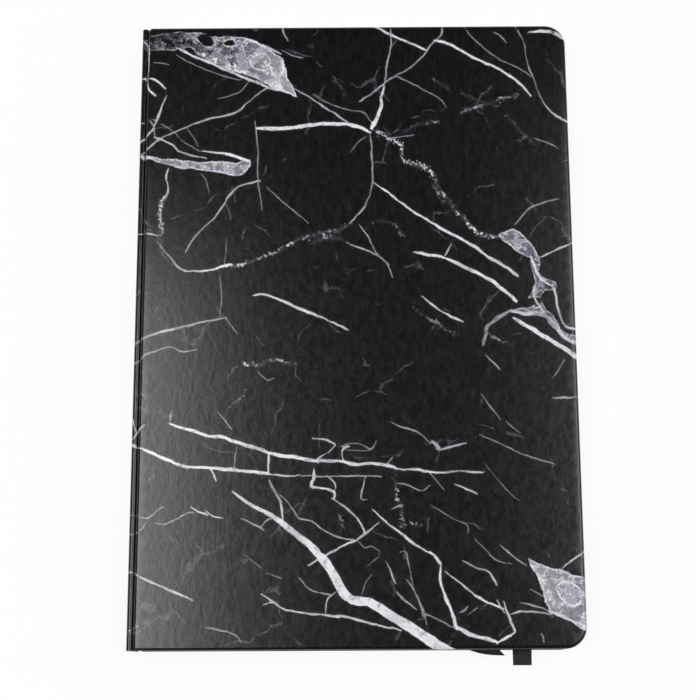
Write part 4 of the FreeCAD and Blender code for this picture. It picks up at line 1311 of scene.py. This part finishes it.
class NOTEBOOK_OT_ribbons(bpy.types.Operator):
    """Lay the ribbon markers between the leaves"""
    bl_idname = "notebook.ribbons"
    bl_label = "Ribbon markers"

    def execute(self, context):
        material = finish(black_satin_ribbon)
        width = sizes()["ribbon_width"]
        head = BLOCK_HIGH.y
        start_x = BLOCK_LOW.x + 0.25 + width / 2
        tail = COVER_LOW.y
        run = 12

        # The first lies a little to the right of the CAD's, as in the photograph, and sinks past the leaves
        level = RIBBON_HIGH.z - TAB_RISE
        shift = 0.35
        place = RIBBON_HIGH.x - width / 2 + shift
        route = [Vector((start_x, head, level)), Vector((start_x, head - run, level)),
                 Vector((place, tail + 2 * run, level)), Vector((place, RIBBON_LOW.y, level))]
        line = ribbon_stations(level, route, fall=0.012, narrowing=0.012)
        first = strap("ribbon_marker_cloth", line, 0.0, material)
        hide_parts("ribbon_marker")

        # The second leaves the tail at a slope, so that its slanting end shows as a tongue
        level = SECOND_HIGH.z - TAB_RISE
        slope = math.radians(2.0)
        turn = math.radians(-17)
        ahead = Vector((math.cos(slope), -math.sin(slope), 0))
        across = Vector((math.sin(slope), math.cos(slope), 0))
        tip = Vector((SECOND_HIGH.x, SECOND_LOW.y, level))
        end = tip + across * (width / 2)
        dip = end - ahead * width
        bend = dip - Matrix.Rotation(turn, 3, "Z") @ ahead * (3 * width)
        route = [Vector((start_x, head, level)), Vector((start_x, head - run, level)), bend, dip, end]
        line = ribbon_stations(level, route, fall=0.0, narrowing=0.0)
        second = strap("second_ribbon_marker_cloth", line, width, material)
        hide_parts("second_ribbon_marker")
        for piece in (first, second):
            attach(piece, "book_block")
        return {"FINISHED"}


class NOTEBOOK_OT_inner_parts(bpy.types.Operator):
    """Give the boards, the spine card and the gauze their materials"""
    bl_idname = "notebook.inner_parts"
    bl_label = "Boards and gauze"

    def execute(self, context):
        dressed = {
            "front_board": recycled_greyboard,
            "back_board": recycled_greyboard,
            "spine_board": recycled_greyboard,
            "spine_lining": starched_gauze,
        }
        for node, maker in dressed.items():
            materials = frame["nodes"][node].data.materials
            materials.clear()
            materials.append(finish(maker))
        return {"FINISHED"}


class NOTEBOOK_OT_stage(bpy.types.Operator):
    """Set the floor, the lights, the background and the camera"""
    bl_idname = "notebook.stage"
    bl_label = "Stage"

    def execute(self, context):
        bpy.ops.object.select_all(action="DESELECT")
        bpy.ops.mesh.primitive_plane_add(size=12, location=(0, 0, 0))
        floor = context.object
        floor.name = "floor"
        floor.data.materials.append(finish(pale_table))
        self.lights()
        self.background(context.scene)
        self.camera(context.scene)
        return {"FINISHED"}

    def lights(self):
        """Hangs two soft panels: their reflections lie over the lower left and the right of the cover."""
        panels = [
            ("window_panel", (-0.69, -0.14, 1.5), (0.9, 1.16), 6.0),
            ("right_panel", (0.98, 0.2, 1.5), (1.2, 0.9), 3.9),
        ]
        for name, place, extent, radiance in panels:
            bpy.ops.object.light_add(type="AREA", location=place)
            lamp = bpy.context.object
            lamp.name = name
            lamp.data.shape = "RECTANGLE"
            lamp.data.size, lamp.data.size_y = extent
            lamp.data.energy = radiance * math.pi * extent[0] * extent[1]

    def background(self, scene):
        """Lights the object from a white horizon, brightest beyond the fore-edge, under a dark ceiling."""
        world = bpy.data.worlds.new("white_horizon")
        scene.world = world
        world.use_nodes = True
        world.node_tree.nodes.clear()
        new = partial(add, world.node_tree)
        direction = new("TexCoord", {}).node.outputs["Generated"]
        parts = new("SeparateXYZ", {}, Vector=direction).node.outputs
        strength = new("MapRange", EASED, parts["Z"], 0.42, 0.6, 1.0, 0.04)
        aside = new("Math", PLUS, new("Math", TIMES, parts["X"], 0.85), new("Math", TIMES, parts["Y"], 0.5))
        strength = new("Math", TIMES, strength, new("MapRange", EASED, aside, -0.35, 0.35, 0.3, 1.0))
        seen = new("LightPath", {}).node.outputs["Is Camera Ray"]
        strength = new("Math", LARGER, strength, seen)
        new("OutputWorld", {}, new("Background", {}, Color=(1, 1, 1, 1), Strength=strength))

    def camera(self, scene):
        """Looks down at the notebook as the photograph does."""
        focal_pixels = 1500
        frame_pixels = 700
        bpy.ops.object.camera_add(location=(0.00054, -0.11557, 0.49391))
        camera = bpy.context.object
        camera.name = "photo_camera"
        tilt, lean, roll = (math.radians(angle) for angle in (12.567, 0.317, -0.326))
        turned = Matrix.Rotation(roll, 4, "Z") @ Matrix.Rotation(tilt, 4, "X") @ Matrix.Rotation(lean, 4, "Y")
        camera.matrix_world = Matrix.Translation(camera.location) @ turned
        camera.data.sensor_width = 36
        camera.data.lens = focal_pixels / frame_pixels * camera.data.sensor_width
        camera.data.clip_start = 0.01
        scene.camera = camera
        scene.view_settings.view_transform = "Standard"


class NOTEBOOK_PT_panel(bpy.types.Panel):
    """Lists the notebook's operators and values"""
    bl_idname = "NOTEBOOK_PT_panel"
    bl_label = "Casebound notebook"
    bl_space_type = "VIEW_3D"
    bl_region_type = "UI"
    bl_category = "Notebook"

    def draw(self, context):
        for operator in OPERATORS:
            self.layout.operator(operator.bl_idname)
        for group in (context.scene.notebook_sizes, context.scene.notebook_colours):
            for name in group.__annotations__:
                self.layout.prop(group, name)


OPERATORS = (NOTEBOOK_OT_covers, NOTEBOOK_OT_endpapers, NOTEBOOK_OT_leaves, NOTEBOOK_OT_ribbons,
             NOTEBOOK_OT_inner_parts, NOTEBOOK_OT_stage)
CLASSES = (NotebookSizes, NotebookColours, *OPERATORS, NOTEBOOK_PT_panel)


def register():
    """Registers the classes and hangs the values on the scene."""
    for cls in CLASSES:
        bpy.utils.register_class(cls)
    bpy.types.Scene.notebook_sizes = PointerProperty(type=NotebookSizes)
    bpy.types.Scene.notebook_colours = PointerProperty(type=NotebookColours)


def unregister():
    """Takes the values and the classes away again."""
    del bpy.types.Scene.notebook_colours
    del bpy.types.Scene.notebook_sizes
    for cls in reversed(CLASSES):
        bpy.utils.unregister_class(cls)


def main():
    """Builds the notebook and its stage."""
    register()
    bpy.ops.notebook.covers()
    bpy.ops.notebook.endpapers()
    bpy.ops.notebook.leaves()
    bpy.ops.notebook.ribbons()
    bpy.ops.notebook.inner_parts()
    bpy.ops.notebook.stage()


if __name__ == "__main__":
    main()
